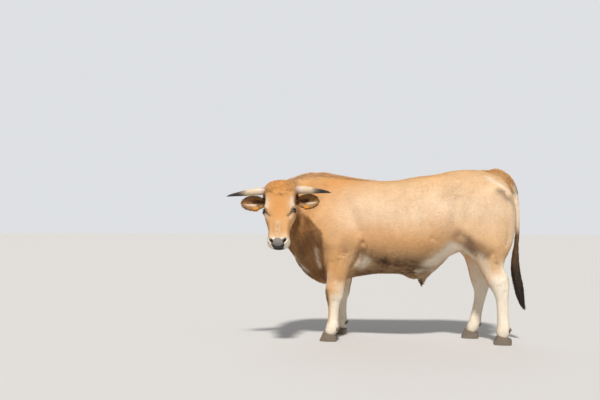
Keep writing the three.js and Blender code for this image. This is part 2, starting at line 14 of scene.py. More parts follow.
import bmesh
import bpy
import numpy as np
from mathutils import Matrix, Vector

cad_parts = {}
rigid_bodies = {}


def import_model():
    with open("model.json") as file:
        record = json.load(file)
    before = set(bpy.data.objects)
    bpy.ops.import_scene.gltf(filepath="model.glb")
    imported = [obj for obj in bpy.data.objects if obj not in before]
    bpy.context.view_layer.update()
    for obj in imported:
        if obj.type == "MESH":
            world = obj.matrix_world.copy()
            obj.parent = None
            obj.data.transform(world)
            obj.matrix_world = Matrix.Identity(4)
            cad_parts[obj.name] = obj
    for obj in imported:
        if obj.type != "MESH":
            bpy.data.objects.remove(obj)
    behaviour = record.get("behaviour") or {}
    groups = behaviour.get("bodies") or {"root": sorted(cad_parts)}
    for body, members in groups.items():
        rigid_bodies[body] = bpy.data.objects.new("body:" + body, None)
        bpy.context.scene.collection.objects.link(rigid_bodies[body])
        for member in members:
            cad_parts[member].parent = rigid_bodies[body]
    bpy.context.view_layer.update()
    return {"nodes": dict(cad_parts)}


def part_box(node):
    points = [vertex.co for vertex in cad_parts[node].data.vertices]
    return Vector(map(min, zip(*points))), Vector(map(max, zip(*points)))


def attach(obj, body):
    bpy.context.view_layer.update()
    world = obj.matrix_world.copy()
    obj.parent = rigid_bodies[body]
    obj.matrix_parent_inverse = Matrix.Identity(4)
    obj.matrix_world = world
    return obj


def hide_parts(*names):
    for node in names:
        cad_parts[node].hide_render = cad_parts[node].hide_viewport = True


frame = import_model()

# %% [markdown]
# ## One set of axes
#
# The lofts are easiest to write with the middle of the chest's line at zero: x from the chest to the tail, y to
# the animal's right and z up, in metres. The frame has its origin under the middle of the whole box. The trunk
# is symmetrical and starts at a known x, so its box tells how far apart the two origins are.

# %% From the animal's own axes to the frame's
TRUNK_START = -0.078
trunk_low, trunk_high = (np.array(corner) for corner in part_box("trunk"))
SHIFT = np.array([trunk_low[0] - TRUNK_START, (trunk_low[1] + trunk_high[1]) / 2, 0.0])
rng = np.random.default_rng(7)
print("shift", SHIFT.round(4))

# %% [markdown]
# ## Lofts
#
# A body part is a row of sections along a line. Each section is a superellipse whose upper and lower halves
# have their own height and squareness. Stations are few, and a Catmull-Rom spline fills in between them, so the
# shape stays easy to change and the surface stays smooth.

# %% Sections and splines
def smooth_rows(table, rows_each):
    """Stations with rows added between them: every column follows a Catmull-Rom spline through its stations."""
    table = np.asarray(table, float)
    place = np.linspace(0, len(table) - 1, (len(table) - 1) * rows_each + 1)
    first = np.minimum(place.astype(int), len(table) - 2)
    f = (place - first)[:, None]
    padded = np.vstack([2 * table[0] - table[1], table, 2 * table[-1] - table[-2]])
    a, b, c, d = (padded[first + k] for k in range(4))
    return 0.5 * (2 * b + (c - a) * f + (2 * a - 5 * b + 4 * c - d) * f**2 + (3 * b - a - 3 * c + d) * f**3)


def column(v):
    """Numbers as one column, so that each multiplies its own row of points."""
    return np.asarray(v, float).reshape(-1, 1)


def section_grid(at, across, up, half, top, bottom, top_power, bottom_power, sides, inset=0.0):
    """Rings of points: across * half * cos^(2/p) and up * height * sin^(2/p), p being the half's power."""
    angle = (np.arange(sides) + 0.5) * 2 * math.pi / sides
    c, s = np.cos(angle), np.sin(angle)
    power = np.where(s > 0, 2 / column(top_power), 2 / column(bottom_power))
    height = np.where(s > 0, column(top), column(bottom)) - inset
    wide = (column(half) - inset) * np.sign(c) * np.abs(c) ** power
    tall = height * np.sign(s) * np.abs(s) ** power
    return at[:, None] + across[:, None] * wide[..., None] + up[:, None] * tall[..., None]


def path_frames(path, sideways):
    """Two directions square to a path at each of its points, the first of them as near sideways as can be."""
    along = np.gradient(path, axis=0)
    along /= np.linalg.norm(along, axis=1, keepdims=True)
    up = np.cross(along, sideways)
    up /= np.linalg.norm(up, axis=1, keepdims=True)
    return np.cross(up, along), up, along


def thousandths(table, plain=()):
    """Rows written in thousandths, so that millimetres become metres. The plain columns stay as they are."""
    table = np.array(table, float)
    units = np.full(table.shape[-1], 1000.0)
    units[list(plain)] = 1
    return table / units


def unit(v):
    v = np.asarray(v, float)
    return v / np.maximum(np.linalg.norm(v, axis=-1, keepdims=True), 1e-12)


def fade(low, high, x):
    """0 at low or beyond and 1 at high or beyond, with 3t^2 - 2t^3 between them. Low may be the greater."""
    t = np.clip((x - low) / (high - low), 0, 1)
    return t * t * (3 - 2 * t)


def closed_faces(rows, sides, first=0):
    """Quads between the rings of a grid and a fan of triangles to a middle point at each end."""
    i, k = np.meshgrid(np.arange(rows - 1), np.arange(sides), indexing="ij")
    nxt = (k + 1) % sides
    quads = np.stack([i * sides + k, i * sides + nxt, (i + 1) * sides + nxt, (i + 1) * sides + k], -1)
    ring = np.arange(sides)
    after = (ring + 1) % sides
    low, high = rows * sides, rows * sides + 1
    start = np.stack([np.full(sides, low), after, ring], -1)
    end = (rows - 1) * sides
    finish = np.stack([np.full(sides, high), end + ring, end + after], -1)
    return [*(quads.reshape(-1, 4) + first).tolist(), *(start + first).tolist(), *(finish + first).tolist()]


def closed_points(grid):
    """The grid's points, then the middle of its first ring and the middle of its last."""
    return np.vstack([grid.reshape(-1, 3), grid[0].mean(0), grid[-1].mean(0)])


def gather(grids):
    """Several closed lofts as one list of points and one list of faces."""
    points, faces, count = [], [], 0
    for grid in grids:
        faces += closed_faces(grid.shape[0], grid.shape[1], count)
        points.append(closed_points(grid))
        count += len(points[-1])
    return np.vstack(points), faces


def linked(name, data):
    """A new object in the scene round a mesh, a light or a camera."""
    obj = bpy.data.objects.new(name, data)
    bpy.context.scene.collection.objects.link(obj)
    return obj


def new_object(name, points, faces):
    """A smooth mesh object at the origin, its points moved from the animal's axes to the frame's."""
    mesh = bpy.data.meshes.new(name)
    mesh.from_pydata((points + SHIFT).tolist(), [], faces)
    mesh.validate()
    mesh.polygons.foreach_set("use_smooth", np.ones(len(mesh.polygons), bool))
    mesh.update()
    return linked(name, mesh)


print("lofts ready")

# %% [markdown]
# ## Stations of the body
#
# These are the same heights, widths and bends as the solids have. The trunk is upright sections from the breast
# to the buttocks, the neck swings a quarter turn to the animal's left, and each leg is level sections.

# %% Trunk, neck and legs
COAT = 0.006  # depth of the coat on the body
TRUNK = thousandths([  # x, top, widest height, bottom, half width, top power, bottom power
    [-78, 900, 805, 716, 50, 2.0, 2.0],
    [-52, 1000, 805, 655, 116, 2.0, 1.9],
    [-20, 1085, 815, 578, 152, 1.9, 1.8],
    [30, 1190, 825, 512, 192, 1.9, 1.8],
    [90, 1278, 840, 462, 222, 1.8, 1.8],
    [180, 1292, 850, 420, 242, 1.7, 1.8],
    [300, 1270, 850, 424, 256, 1.8, 1.9],
    [400, 1252, 846, 458, 271, 1.95, 2.1],
    [500, 1236, 840, 484, 289, 2.1, 2.15],
    [620, 1228, 835, 500, 307, 2.15, 2.2],
    [760, 1231, 835, 502, 320, 2.2, 2.2],
    [920, 1257, 850, 500, 316, 2.25, 2.1],
    [1060, 1272, 890, 556, 298, 2.4, 2.0],
    [1170, 1294, 960, 640, 280, 2.6, 2.0],
    [1290, 1305, 1010, 690, 262, 2.5, 2.0],
    [1410, 1302, 1030, 730, 236, 2.3, 2.0],
    [1510, 1278, 1030, 780, 192, 2.2, 2.0],
    [1560, 1240, 1022, 815, 168, 2.2, 2.0],
    [1600, 1186, 1010, 858, 132, 2.1, 2.0],
    [1630, 1110, 1000, 910, 85, 2.0, 2.0],
], plain=(5, 6))
NECK = thousandths([  # turn in degrees, x, y, z, half width, top, bottom, top power, bottom power
    [0, 190, 0, 880, 150, 400, 380, 1.7, 1.8],
    [8, 70, -8, 880, 186, 414, 395, 1.6, 1.8],
    [28, 0, -42, 900, 164, 372, 318, 1.6, 1.8],
    [55, -62, -122, 930, 136, 310, 225, 1.6, 1.8],
    [75, -76, -240, 965, 117, 240, 178, 1.7, 1.8],
    [88, -66, -370, 1000, 104, 186, 180, 1.8, 1.9],
    [92, -50, -500, 1030, 92, 140, 130, 1.9, 2.0],
    [92, -47, -570, 1045, 60, 90, 80, 2.0, 2.0],
], plain=(0, 7, 8))
FORE_LEG = thousandths([  # height, front, back, distance of its middle from the body's, half width
    [1010, 190, 400, 150, 70],
    [940, 118, 450, 164, 88],
    [850, 88, 488, 174, 98],
    [760, 122, 506, 180, 98],
    [690, 200, 492, 184, 86],
    [620, 236, 466, 186, 74],
    [545, 242, 430, 188, 64],
    [480, 240, 404, 189, 57],
    [430, 233, 392, 190, 54],
    [380, 227, 378, 190, 55],
    [330, 232, 368, 190, 50],
    [285, 243, 348, 190, 41],
    [225, 250, 337, 190, 36],
    [160, 244, 334, 190, 38],
    [118, 234, 336, 190, 46],
    [85, 226, 334, 190, 46],
    [60, 226, 318, 190, 42],
    [40, 236, 304, 190, 34],
])
HIND_LEG = thousandths([
    [1190, 1330, 1540, 90, 85],
    [1110, 1225, 1618, 128, 112],
    [990, 1196, 1646, 146, 122],
    [870, 1192, 1642, 152, 120],
    [770, 1210, 1626, 156, 110],
    [695, 1252, 1600, 156, 94],
    [635, 1322, 1572, 155, 76],
    [580, 1362, 1560, 154, 62],
    [535, 1388, 1572, 152, 54],
    [490, 1412, 1594, 151, 51],
    [430, 1445, 1598, 150, 49],
    [370, 1480, 1595, 150, 42],
    [305, 1499, 1592, 150, 36],
    [205, 1505, 1594, 150, 36],
    [145, 1504, 1602, 150, 44],
    [100, 1498, 1606, 150, 47],
    [62, 1502, 1594, 150, 42],
    [40, 1512, 1582, 150, 34],
])
# side, pattern, whole shift along the body, further reach of the foot, front of the hoof on the pattern
LEGS = {
    "fore_left": (-1, FORE_LEG, 0.0, 0.0, 0.187),
    "fore_right": (1, FORE_LEG, -0.022, 0.048, 0.187),
    "hind_left": (-1, HIND_LEG, 0.0, 0.0, 1.478),
    "hind_right": (1, HIND_LEG, 0.0, -0.226, 1.478),
}
REACH_START = 0.76


def stand_off(leg, z):
    """How far a point of a leg stands off its pattern: nothing above 0.76 m, growing to its reach at the ground."""
    _, _, shift, reach, _ = LEGS[leg]
    return shift + reach * np.clip((REACH_START - np.asarray(z)) / REACH_START, 0, None) ** 0.8


def upright_grid(table, sides, rows_each, inset):
    x, top, mid, bottom, half, top_power, bottom_power = smooth_rows(table, rows_each).T
    at = np.stack([x, 0 * x, mid], 1)
    across, up = np.tile([0.0, 1, 0], (len(x), 1)), np.tile([0.0, 0, 1], (len(x), 1))
    return section_grid(at, across, up, half, top - mid, mid - bottom, top_power, bottom_power, sides, inset)


def neck_grid(sides, rows_each, inset):
    turn, x, y, z, half, top, bottom, top_power, bottom_power = smooth_rows(NECK, rows_each).T
    turn = np.radians(turn)
    at = np.stack([x, y, z], 1)
    across = np.stack([-np.sin(turn), np.cos(turn), 0 * turn], 1)
    up = np.tile([0.0, 0, 1], (len(x), 1))
    return section_grid(at, across, up, half, top, bottom, top_power, bottom_power, sides, inset)


def leg_grid(leg, sides, rows_each, inset):
    side, pattern = LEGS[leg][:2]
    z, front, back, y, half = smooth_rows(pattern, rows_each).T
    at = np.stack([(front + back) / 2 + stand_off(leg, z), side * y, z], 1)
    across, up = np.tile([0.0, 1, 0], (len(z), 1)), np.tile([-1.0, 0, 0], (len(z), 1))
    depth = (back - front) / 2
    return section_grid(at, across, up, half, depth, depth, 2.2 + 0 * z, 2 + 0 * z, sides, inset)


print("trunk", upright_grid(TRUNK, 80, 6, COAT).shape, "neck", neck_grid(64, 8, COAT).shape)

# %% [markdown]
# ## The head's own axes
#
# The head faces the animal's left and hangs with its face at a slant. Everything on it is measured in three
# distances: down the face from the poll, out to the animal's right, and out from the forehead.

# %% Head frame and stations
HEAD_AT = np.array([-0.05, -0.552, 1.204])
HEAD_TURN, HEAD_SLANT, HEAD_TIP = math.radians(93.4), math.radians(30), math.radians(1.8)
FACING = np.array([-math.cos(HEAD_TURN), -math.sin(HEAD_TURN), 0])


def tipped(v):
    """Rodrigues' turn of a vector by the head's tip about the way it faces."""
    c, s = math.cos(HEAD_TIP), math.sin(HEAD_TIP)
    return v * c + np.cross(FACING, v) * s + FACING * np.dot(FACING, v) * (1 - c)


UPWARD = np.array([0.0, 0, 1])
HEAD_RIGHT = tipped(np.cross(FACING, UPWARD))
HEAD_DOWN = tipped(-UPWARD * math.cos(HEAD_SLANT) + FACING * math.sin(HEAD_SLANT))
HEAD_OUT = tipped(UPWARD * math.sin(HEAD_SLANT) + FACING * math.cos(HEAD_SLANT))
HEAD_AXES = np.array([HEAD_DOWN, HEAD_RIGHT, HEAD_OUT])


def from_head(points):
    """Points given as down, right and out, in the animal's axes."""
    return HEAD_AT + np.asarray(points, float) @ HEAD_AXES


def to_head(points):
    """The down, right and out of points."""
    return (points - HEAD_AT) @ HEAD_AXES.T


HEAD = thousandths([  # down, face, widest, jaw, half width, top power, bottom power
    [-16, -42, -72, -105, 60, 2.2, 2.0],
    [-8, -20, -68, -135, 90, 2.2, 2.0],
    [4, -8, -66, -160, 108, 2.2, 2.0],
    [40, 6, -62, -196, 126, 2.1, 2.0],
    [90, 6, -62, -226, 119, 2.3, 2.0],
    [145, 3, -62, -244, 115, 2.5, 2.0],
    [195, 0, -64, -250, 118, 2.6, 1.9],
    [240, 0, -68, -240, 115, 2.4, 1.8],
    [288, 2, -72, -207, 101, 2.3, 1.8],
    [336, 3, -74, -175, 86, 2.3, 1.8],
    [382, 1, -76, -155, 78, 2.4, 2.0],
    [425, -3, -80, -150, 80, 2.6, 2.2],
    [462, -12, -84, -150, 82, 2.6, 2.2],
    [490, -28, -86, -138, 70, 2.4, 2.2],
    [503, -52, -88, -120, 42, 2.2, 2.0],
], plain=(5, 6))
FACE_COAT = 0.004


def head_grid(sides, rows_each, inset):
    down, face, mid, jaw, half, top_power, bottom_power = smooth_rows(HEAD, rows_each).T
    at = from_head(np.stack([down, 0 * down, mid], 1))
    across, up = np.tile(HEAD_RIGHT, (len(down), 1)), np.tile(HEAD_OUT, (len(down), 1))
    return section_grid(at, across, up, half, face - mid, mid - jaw, top_power, bottom_power, sides, inset)


print("head", head_grid(80, 6, FACE_COAT).shape)

# %% [markdown]
# ## Tail, sheath, horns and ears
#
# Long thin parts are a round section carried along a bent path. The tail's bone runs on inside the brush of
# long hair, so here its own flesh stops part of the way down and the hair is added later.

# %% Stations along paths
TAIL = thousandths([  # x, z, half width, half depth
    [1425, 1248, 30, 36],
    [1500, 1266, 42, 42],
    [1562, 1246, 41, 38],
    [1614, 1192, 34, 32],
    [1646, 1115, 28, 27],
    [1661, 1025, 23, 23],
    [1667, 930, 20, 20],
    [1667, 840, 19, 20],
    [1660, 750, 20, 21],
    [1652, 660, 26, 27],
    [1650, 580, 33, 32],
    [1658, 500, 38, 36],
    [1674, 420, 38, 36],
    [1688, 340, 30, 29],
    [1704, 280, 18, 18],
    [1722, 236, 5, 5],
])
NAVEL_FLAP = thousandths([
    [800, 525, 26, 22],
    [850, 516, 44, 42],
    [900, 507, 46, 46],
    [930, 489, 36, 34],
    [946, 460, 20, 18],
])
SHEATH_FOLD = thousandths([
    [1130, 632, 34, 20],
    [1095, 606, 40, 28],
    [1034, 561, 44, 36],
    [987, 520, 40, 34],
    [961, 479, 28, 25],
    [953, 448, 17, 15],
    [950, 426, 9, 8],
    [948, 410, 4, 4],
])
HORN = thousandths([  # down, right, out, radius
    [48, 84, -60, 29],
    [50, 138, -54, 29],
    [62, 190, -40, 27],
    [84, 246, -16, 22],
    [108, 306, 10, 14.5],
    [128, 350, 30, 8.5],
    [143, 373, 42, 2.5],
])


def tube_grid(path, half, depth, sideways, sides, inset=0.0):
    """A superellipse of power two carried along a path, square to it."""
    across, up, _ = path_frames(path, np.asarray(sideways, float))
    two = 2 + 0 * half
    return section_grid(path, across, up, half, depth, depth, two, two, sides, inset)


def mid_plane_grid(table, sides, rows_each, inset):
    x, z, half, depth = smooth_rows(table, rows_each).T
    return tube_grid(np.stack([x, 0 * x, z], 1), half, depth, (0, 1, 0), sides, inset)


def horn_path(side, rows_each):
    down, right, out, radius = smooth_rows(HORN, rows_each).T
    return from_head(np.stack([down, side * right, out], 1)), np.maximum(radius, 0.0012)


SIDES = {"left": -1, "right": 1}
print("tail", mid_plane_grid(TAIL, 24, 6, 0.003).shape)

# %% [markdown]
# ## One skin
#
# Overlapping closed lofts become one surface with a voxel remesh: the shape is turned into a field on a grid
# and its surface is taken out again, with no trace of where one loft ran into another. The grid has one pitch
# everywhere, but a head needs finer cells than a flank, so every point is first pushed away from the middle of
# the head. Near the head lengths are doubled, far off they hardly change. After the remesh the push is undone.

# %% A grid that is finer round the head
HEAD_MIDDLE = from_head([0.25, 0.0, -0.09])
PUSH = 0.3  # metres that a far point moves away from the head
PITCH = 0.0098


def pushed(points):
    """Radius r from the head's middle becomes r + PUSH * tanh(r / PUSH)."""
    offset = points - HEAD_MIDDLE
    r = np.linalg.norm(offset, axis=1, keepdims=True)
    return HEAD_MIDDLE + offset * (r + PUSH * np.tanh(r / PUSH)) / np.maximum(r, 1e-9)


def pulled_back(points):
    """The inverse of pushed, read off a table of radii."""
    radii = np.linspace(0, 4, 8001)
    offset = points - HEAD_MIDDLE
    r = np.linalg.norm(offset, axis=1)
    before = np.interp(r, radii + PUSH * np.tanh(radii / PUSH), radii)
    return HEAD_MIDDLE + offset * (before / np.maximum(r, 1e-9))[:, None]


def remeshed(points, faces, pitch):
    """The outer surface of overlapping closed shells, as points and quads from a voxel remesh."""
    mesh = bpy.data.meshes.new("rough")
    mesh.from_pydata(points.tolist(), [], faces)
    rough = linked("rough", mesh)
    modifier = rough.modifiers.new("voxels", "REMESH")
    modifier.mode = "VOXEL"
    modifier.voxel_size = pitch
    done = rough.evaluated_get(bpy.context.evaluated_depsgraph_get()).to_mesh()
    found = np.empty(len(done.vertices) * 3)
    done.vertices.foreach_get("co", found)
    corners = np.empty(len(done.loops), np.int64)
    done.loops.foreach_get("vertex_index", corners)
    sizes = np.empty(len(done.polygons), np.int64)
    done.polygons.foreach_get("loop_total", sizes)
    bpy.data.objects.remove(rough)
    bpy.data.meshes.remove(mesh)
    assert (sizes == 4).all()
    return found.reshape(-1, 3), corners.reshape(-1, 4)


flesh = [
    upright_grid(TRUNK, 96, 6, COAT),
    neck_grid(80, 10, COAT),
    head_grid(96, 8, FACE_COAT),
    mid_plane_grid(TAIL[:11], 24, 6, 0.004),
    mid_plane_grid(NAVEL_FLAP, 32, 6, 0.004),
    mid_plane_grid(SHEATH_FOLD, 32, 6, 0.004),
    *(leg_grid(leg, 40, 5, 0.004) for leg in LEGS),
]
points, faces = gather(flesh)
skin_points, skin_quads = remeshed(pushed(points), faces, PITCH)
skin_points = pulled_back(skin_points)
print("skin", len(skin_points), "points", len(skin_quads), "quads")

# %% [markdown]
# ## Melting the joins
#
# Where two lofts cross there is a sharp crease, which flesh doesn't have. Each point is drawn towards the
# middle of its neighbours, but only outwards along its normal: hollows fill and nothing that bulges shrinks.
# A light two-way smoothing afterwards takes out the steps of the voxels and keeps the volume.

# %% Smoothing on the mesh's own edges
def edges_of(quads):
    sides = np.concatenate([quads[:, [k, (k + 1) % 4]] for k in range(4)])
    return np.unique(np.sort(sides, axis=1), axis=0)


def neighbour_middles(points, edges):
    """The mean of each point's neighbours along the edges."""
    count = np.bincount(edges.ravel(), minlength=len(points))
    total = np.stack([
        np.bincount(edges[:, 0], points[edges[:, 1], k], len(points))
        + np.bincount(edges[:, 1], points[edges[:, 0], k], len(points))
        for k in range(3)
    ], 1)
    return total / np.maximum(count, 1)[:, None]


def face_normals(points, faces):
    """Twice each face's area along its normal: the cross product of a quad's diagonals or a triangle's sides."""
    a, b, c, d = (points[faces[:, k % faces.shape[1]]] for k in range(4))
    return np.cross(c - a, d - b)


def point_normals(points, faces):
    """The sum of the normals of the faces round each point, by their area, made one long."""
    face = face_normals(points, faces)
    total = np.zeros_like(points)
    for corner in faces.T:
        for axis in range(3):
            total[:, axis] += np.bincount(corner, face[:, axis], len(points))
    return unit(total)


skin_edges = edges_of(skin_quads)
from_middle = skin_points[skin_quads].mean(1) - [0.8, 0, 0.85]
inside_out = (face_normals(skin_points, skin_quads) * from_middle).sum() < 0
if inside_out:
    skin_quads = skin_quads[:, ::-1]

away_from_head = np.linalg.norm(skin_points - HEAD_MIDDLE, axis=1)
for step in range(70):
    normals = point_normals(skin_points, skin_quads) if step % 5 == 0 else normals
    drawn = neighbour_middles(skin_points, skin_edges) - skin_points
    outward = np.clip((drawn * normals).sum(1), 0, None) * fade(0.2, 0.42, away_from_head)
    outward *= fade(0.1, 0.3, skin_points[:, 2])
    skin_points = skin_points + normals * outward[:, None] * 0.9
for _ in range(8):
    skin_points = skin_points + 0.5 * (neighbour_middles(skin_points, skin_edges) - skin_points)
    skin_points = skin_points - 0.52 * (neighbour_middles(skin_points, skin_edges) - skin_points)
print("inside out:", bool(inside_out), "low", skin_points.min(0).round(3), "high", skin_points.max(0).round(3))

# %% [markdown]
# ## Finer cells where the detail is
#
# Lids and nostrils need edges a millimetre or two long. Cutting every cell of the body that small would make
# millions, so only the faces round the eyes and the muzzle are subdivided, the eyes twice. After this the skin
# is kept as triangles.

# %% Subdivide round the eyes and the muzzle
EYE_AT = {name: from_head([0.232, side * 0.099, -0.048]) for name, side in SIDES.items()}
EYE_RADIUS = 0.02
MUZZLE_AT = from_head([0.475, 0.0, -0.06])


def refined(points, faces, centres, radius):
    """Every edge with both ends within a radius of one of the centres is cut in two and its faces filled in."""
    mesh = bpy.data.meshes.new("refined")
    mesh.from_pydata(points.tolist(), [], faces.tolist())
    bm = bmesh.new()
    bm.from_mesh(mesh)
    near = np.zeros(len(points), bool)
    for centre in centres:
        near |= np.linalg.norm(points - centre, axis=1) < radius
    chosen = [e for e in bm.edges if near[e.verts[0].index] and near[e.verts[1].index]]
    bmesh.ops.subdivide_edges(bm, edges=chosen, cuts=1, use_grid_fill=True, smooth=0.0)
    bmesh.ops.triangulate(bm, faces=[f for f in bm.faces if len(f.verts) > 4])
    bm.to_mesh(mesh)
    bm.free()
    return mesh


def read_triangles(mesh):
    """A mesh's points and its faces as triangles."""
    found = np.empty(len(mesh.vertices) * 3)
    mesh.vertices.foreach_get("co", found)
    mesh.calc_loop_triangles()
    triangles = np.empty(len(mesh.loop_triangles) * 3, np.int64)
    mesh.loop_triangles.foreach_get("vertices", triangles)
    bpy.data.meshes.remove(mesh)
    return found.reshape(-1, 3), triangles.reshape(-1, 3)


skin_points, skin_faces = read_triangles(refined(skin_points, skin_quads, [*EYE_AT.values(), MUZZLE_AT], 0.085))
skin_points, skin_faces = read_triangles(refined(skin_points, skin_faces, EYE_AT.values(), 0.034))
skin_points, skin_faces = read_triangles(refined(skin_points, skin_faces, EYE_AT.values(), 0.029))

print("skin", len(skin_points), "points", len(skin_faces), "triangles")

# %% [markdown]
# ## Muscle and bone under the skin
#
# Soft swellings and furrows are added to the skin as heights along its normals. Each one is a ridge: a height
# that fades with the square of the distance from a line. The left and the right side share one list, measured
# on the left leg's stance, and so do the two sides of the face.

# %% Ridges and furrows
# from and to (x, distance from the mid plane, z), width and height, in millimetres
BODY_RIDGES = thousandths([
    (200, 170, 1200, 120, 250, 860, 50, 10),  # spine of the shoulder blade
    (60, 160, 1160, 40, 210, 880, 45, -10),  # neck in front of it
    (340, 220, 1120, 480, 290, 840, 55, -12),  # behind the blade
    (240, 270, 940, 400, 280, 820, 80, 11),  # muscle over the elbow
    (520, 270, 750, 450, 212, 550, 20, -24),  # fold behind the elbow
    (450, 270, 670, 460, 260, 640, 30, 8),  # point of the elbow
    (120, 250, 810, 130, 250, 780, 50, 9),  # point of the shoulder
    (260, 230, 620, 250, 230, 500, 35, 6),  # front of the forearm
    (340, 250, 620, 310, 240, 460, 16, -5),
    (390, 240, 630, 360, 230, 500, 30, 5),  # back of the forearm
    (350, 260, 680, 410, 260, 672, 8, -4),  # wrinkles over the elbow
    (340, 260, 660, 400, 260, 650, 8, -4),
    (1050, 270, 1120, 1100, 270, 1060, 75, -15),  # hollow of the flank
    (1200, 230, 1210, 1210, 240, 1190, 45, 12),  # hook bone
    (1600, 100, 1170, 1610, 100, 1150, 40, 9),  # pin bone
    (1450, 55, 1290, 1630, 50, 1080, 26, -10),  # beside the tail
    (850, 0, 1260, 1380, 0, 1310, 30, -6),  # groove of the loin
    (850, 100, 1250, 1300, 100, 1300, 50, 5),
    (1420, 250, 1140, 1500, 270, 760, 22, -8),  # furrows of the thigh
    (1570, 190, 1120, 1580, 220, 740, 20, -8),
    (1280, 260, 840, 1270, 260, 780, 70, 12),  # stifle
    (1240, 240, 800, 1460, 230, 680, 30, -10),  # under the thigh
    (1220, 270, 1060, 1200, 280, 800, 40, -11),  # flank in front of the thigh
    (1030, 284, 790, 1090, 272, 745, 13, -6),  # curved fold of the flank
    (1090, 272, 745, 1180, 245, 752, 13, -6),
    (1020, 260, 620, 1240, 250, 710, 26, 10),  # skin fold from belly to stifle
    (1000, 270, 660, 1200, 270, 730, 20, -6),
    (1500, 200, 600, 1545, 200, 500, 16, -11),  # hollow before the hock's tendon
    (1490, 200, 475, 1500, 200, 455, 30, 5),  # hock
    (1500, 200, 440, 1570, 200, 425, 7, -3),
    (1565, 190, 390, 1562, 190, 180, 10, -5),  # between cannon bone and tendon
    (306, 230, 310, 300, 230, 170, 10, -4),
    (290, 240, 395, 290, 240, 375, 32, 5),  # knee
    (30, 70, 560, 160, 75, 470, 24, -12),  # beside the brisket
])
NEAR_RIDGES = thousandths([  # folds on the inside of the neck's bend, left side only
    (85, 200, 1140, 85, 240, 920, 12, -4),
    (145, 210, 1120, 150, 260, 930, 11, -4),
    (205, 220, 1090, 210, 260, 950, 10, -3),
    (20, 190, 1100, 10, 220, 800, 18, -8),
    (-5, 260, 1060, -20, 270, 820, 14, -7),
    (10, 330, 1080, -10, 330, 860, 12, -6),
    (60, 220, 800, 110, 210, 620, 20, -8),
])
FACE_RIDGES = thousandths([  # down, distance from the middle of the face, out
    (0, 0, -30, 10, 20, -30, 50, 6),  # poll
    (110, 0, 0, 150, 0, 0, 55, -4),  # dish of the forehead
    (196, 84, -20, 215, 104, -30, 24, 8),  # brow
    (140, 112, -70, 165, 112, -80, 35, -8),  # temple
    (262, 70, -15, 285, 66, -12, 22, -6),  # in front of the eye
    (190, 105, -160, 245, 100, -170, 50, 9),  # cheek muscle
    (300, 92, -120, 300, 80, -170, 20, -7),
    (270, 98, -85, 350, 82, -85, 14, 5),  # crest of the cheek bone
    (300, 46, 2, 415, 48, -6, 18, -5),  # beside the nose bone
    (455, 60, -85, 480, 50, -90, 26, 5),  # upper lip
    (485, 0, -130, 480, 20, -135, 26, 4),  # chin
    (507, 0, -100, 492, 45, -104, 6, -8),  # mouth
    (492, 45, -104, 430, 78, -112, 6, -8),
])


def ridge(places, *row):
    """height * exp(-(d / width)^2), d being the distance from the line between a row's two points."""
    start, end, (width, height) = np.array(row[:3]), np.array(row[3:6]), row[6:]
    line = end - start
    along = np.clip(((places - start) @ line) / (line @ line), 0, 1)
    d = np.linalg.norm(places - start - along[:, None] * line, axis=1)
    return height * np.exp(-((d / width) ** 2))


def pattern_places(points):
    """Points folded onto the left side, with the right legs brought to the left legs' stance."""
    x, y, z = points.T
    hind = fade(0.9, 1.1, x)
    shift = (1 - hind) * stand_off("fore_right", z) + hind * stand_off("hind_right", z)
    return np.stack([x - np.where(y > 0, shift, 0) * fade(0.85, 0.6, z), np.abs(y), z], 1)


def head_share(points):
    """1 on the head, 0 on the neck and beyond."""
    down, right, out = to_head(points).T
    inside = fade(-0.3, -0.22, out) * fade(-0.06, -0.02, down)
    return inside * fade(0.22, 0.16, np.abs(right)) * fade(0.6, 0.54, down)


on_head = head_share(skin_points)
places = pattern_places(skin_points)
face_places = to_head(skin_points) * [1, 0, 1] + np.abs(to_head(skin_points)) * [0, 1, 0]
relief = sum(ridge(places, *r) for r in BODY_RIDGES) * (1 - on_head)
relief += sum(ridge(places, *r) for r in NEAR_RIDGES) * (1 - on_head) * (skin_points[:, 1] < 0)
relief += sum(ridge(face_places, *r) for r in FACE_RIDGES) * on_head
ribs = np.cos((skin_points[:, 0] + 0.25 * skin_points[:, 2]) * 2 * math.pi / 0.078)
ribs *= fade(0.5, 0.62, skin_points[:, 0]) * fade(1.08, 0.95, skin_points[:, 0])
ribs *= fade(0.55, 0.7, skin_points[:, 2]) * fade(1.1, 0.95, skin_points[:, 2])
normals = point_normals(skin_points, skin_faces)
skin_points = skin_points + normals * (relief + 0.0004 * ribs)[:, None]
print("relief from", relief.min().round(4), "to", relief.max().round(4))

# %% [markdown]
# ## Lids round the eyes and hollows for the nostrils
#
# The eyeball is its own piece. Around it the skin is laid on a slightly bigger ball, with an almond-shaped
# opening in it where the skin dives behind the eyeball instead. Away from the eye the laid skin fades into the
# face. A nostril is a comma of skin pushed in, with a raised rim.

# %% Lids and nostrils
NOSTRIL_AT = (0.474, 0.046, -0.03)  # down, distance from the middle of the face, out


def nostril_reach(right, down):
    """0 in the middle of a nostril's comma, 1 on its edge. The comma leans in and narrows as it goes down."""
    wide = 0.0085 + 0.006 * fade(0.01, -0.014, down)
    return ((right + 0.45 * down) / wide) ** 2 + (down / 0.015) ** 2


def eye_axes(side):
    """Where an eye looks, the direction from its inner to its outer corner, and the way up its lids."""
    look = unit(HEAD_AXES.T @ np.array([0.02, 0.74 * side, 0.67]))
    outer = HEAD_AXES.T @ np.array([-0.55, 0.62 * side, -0.62])
    outer = unit(outer - look * (outer @ look))
    lid_up = np.cross(look, outer) * -side
    return look, outer, lid_up


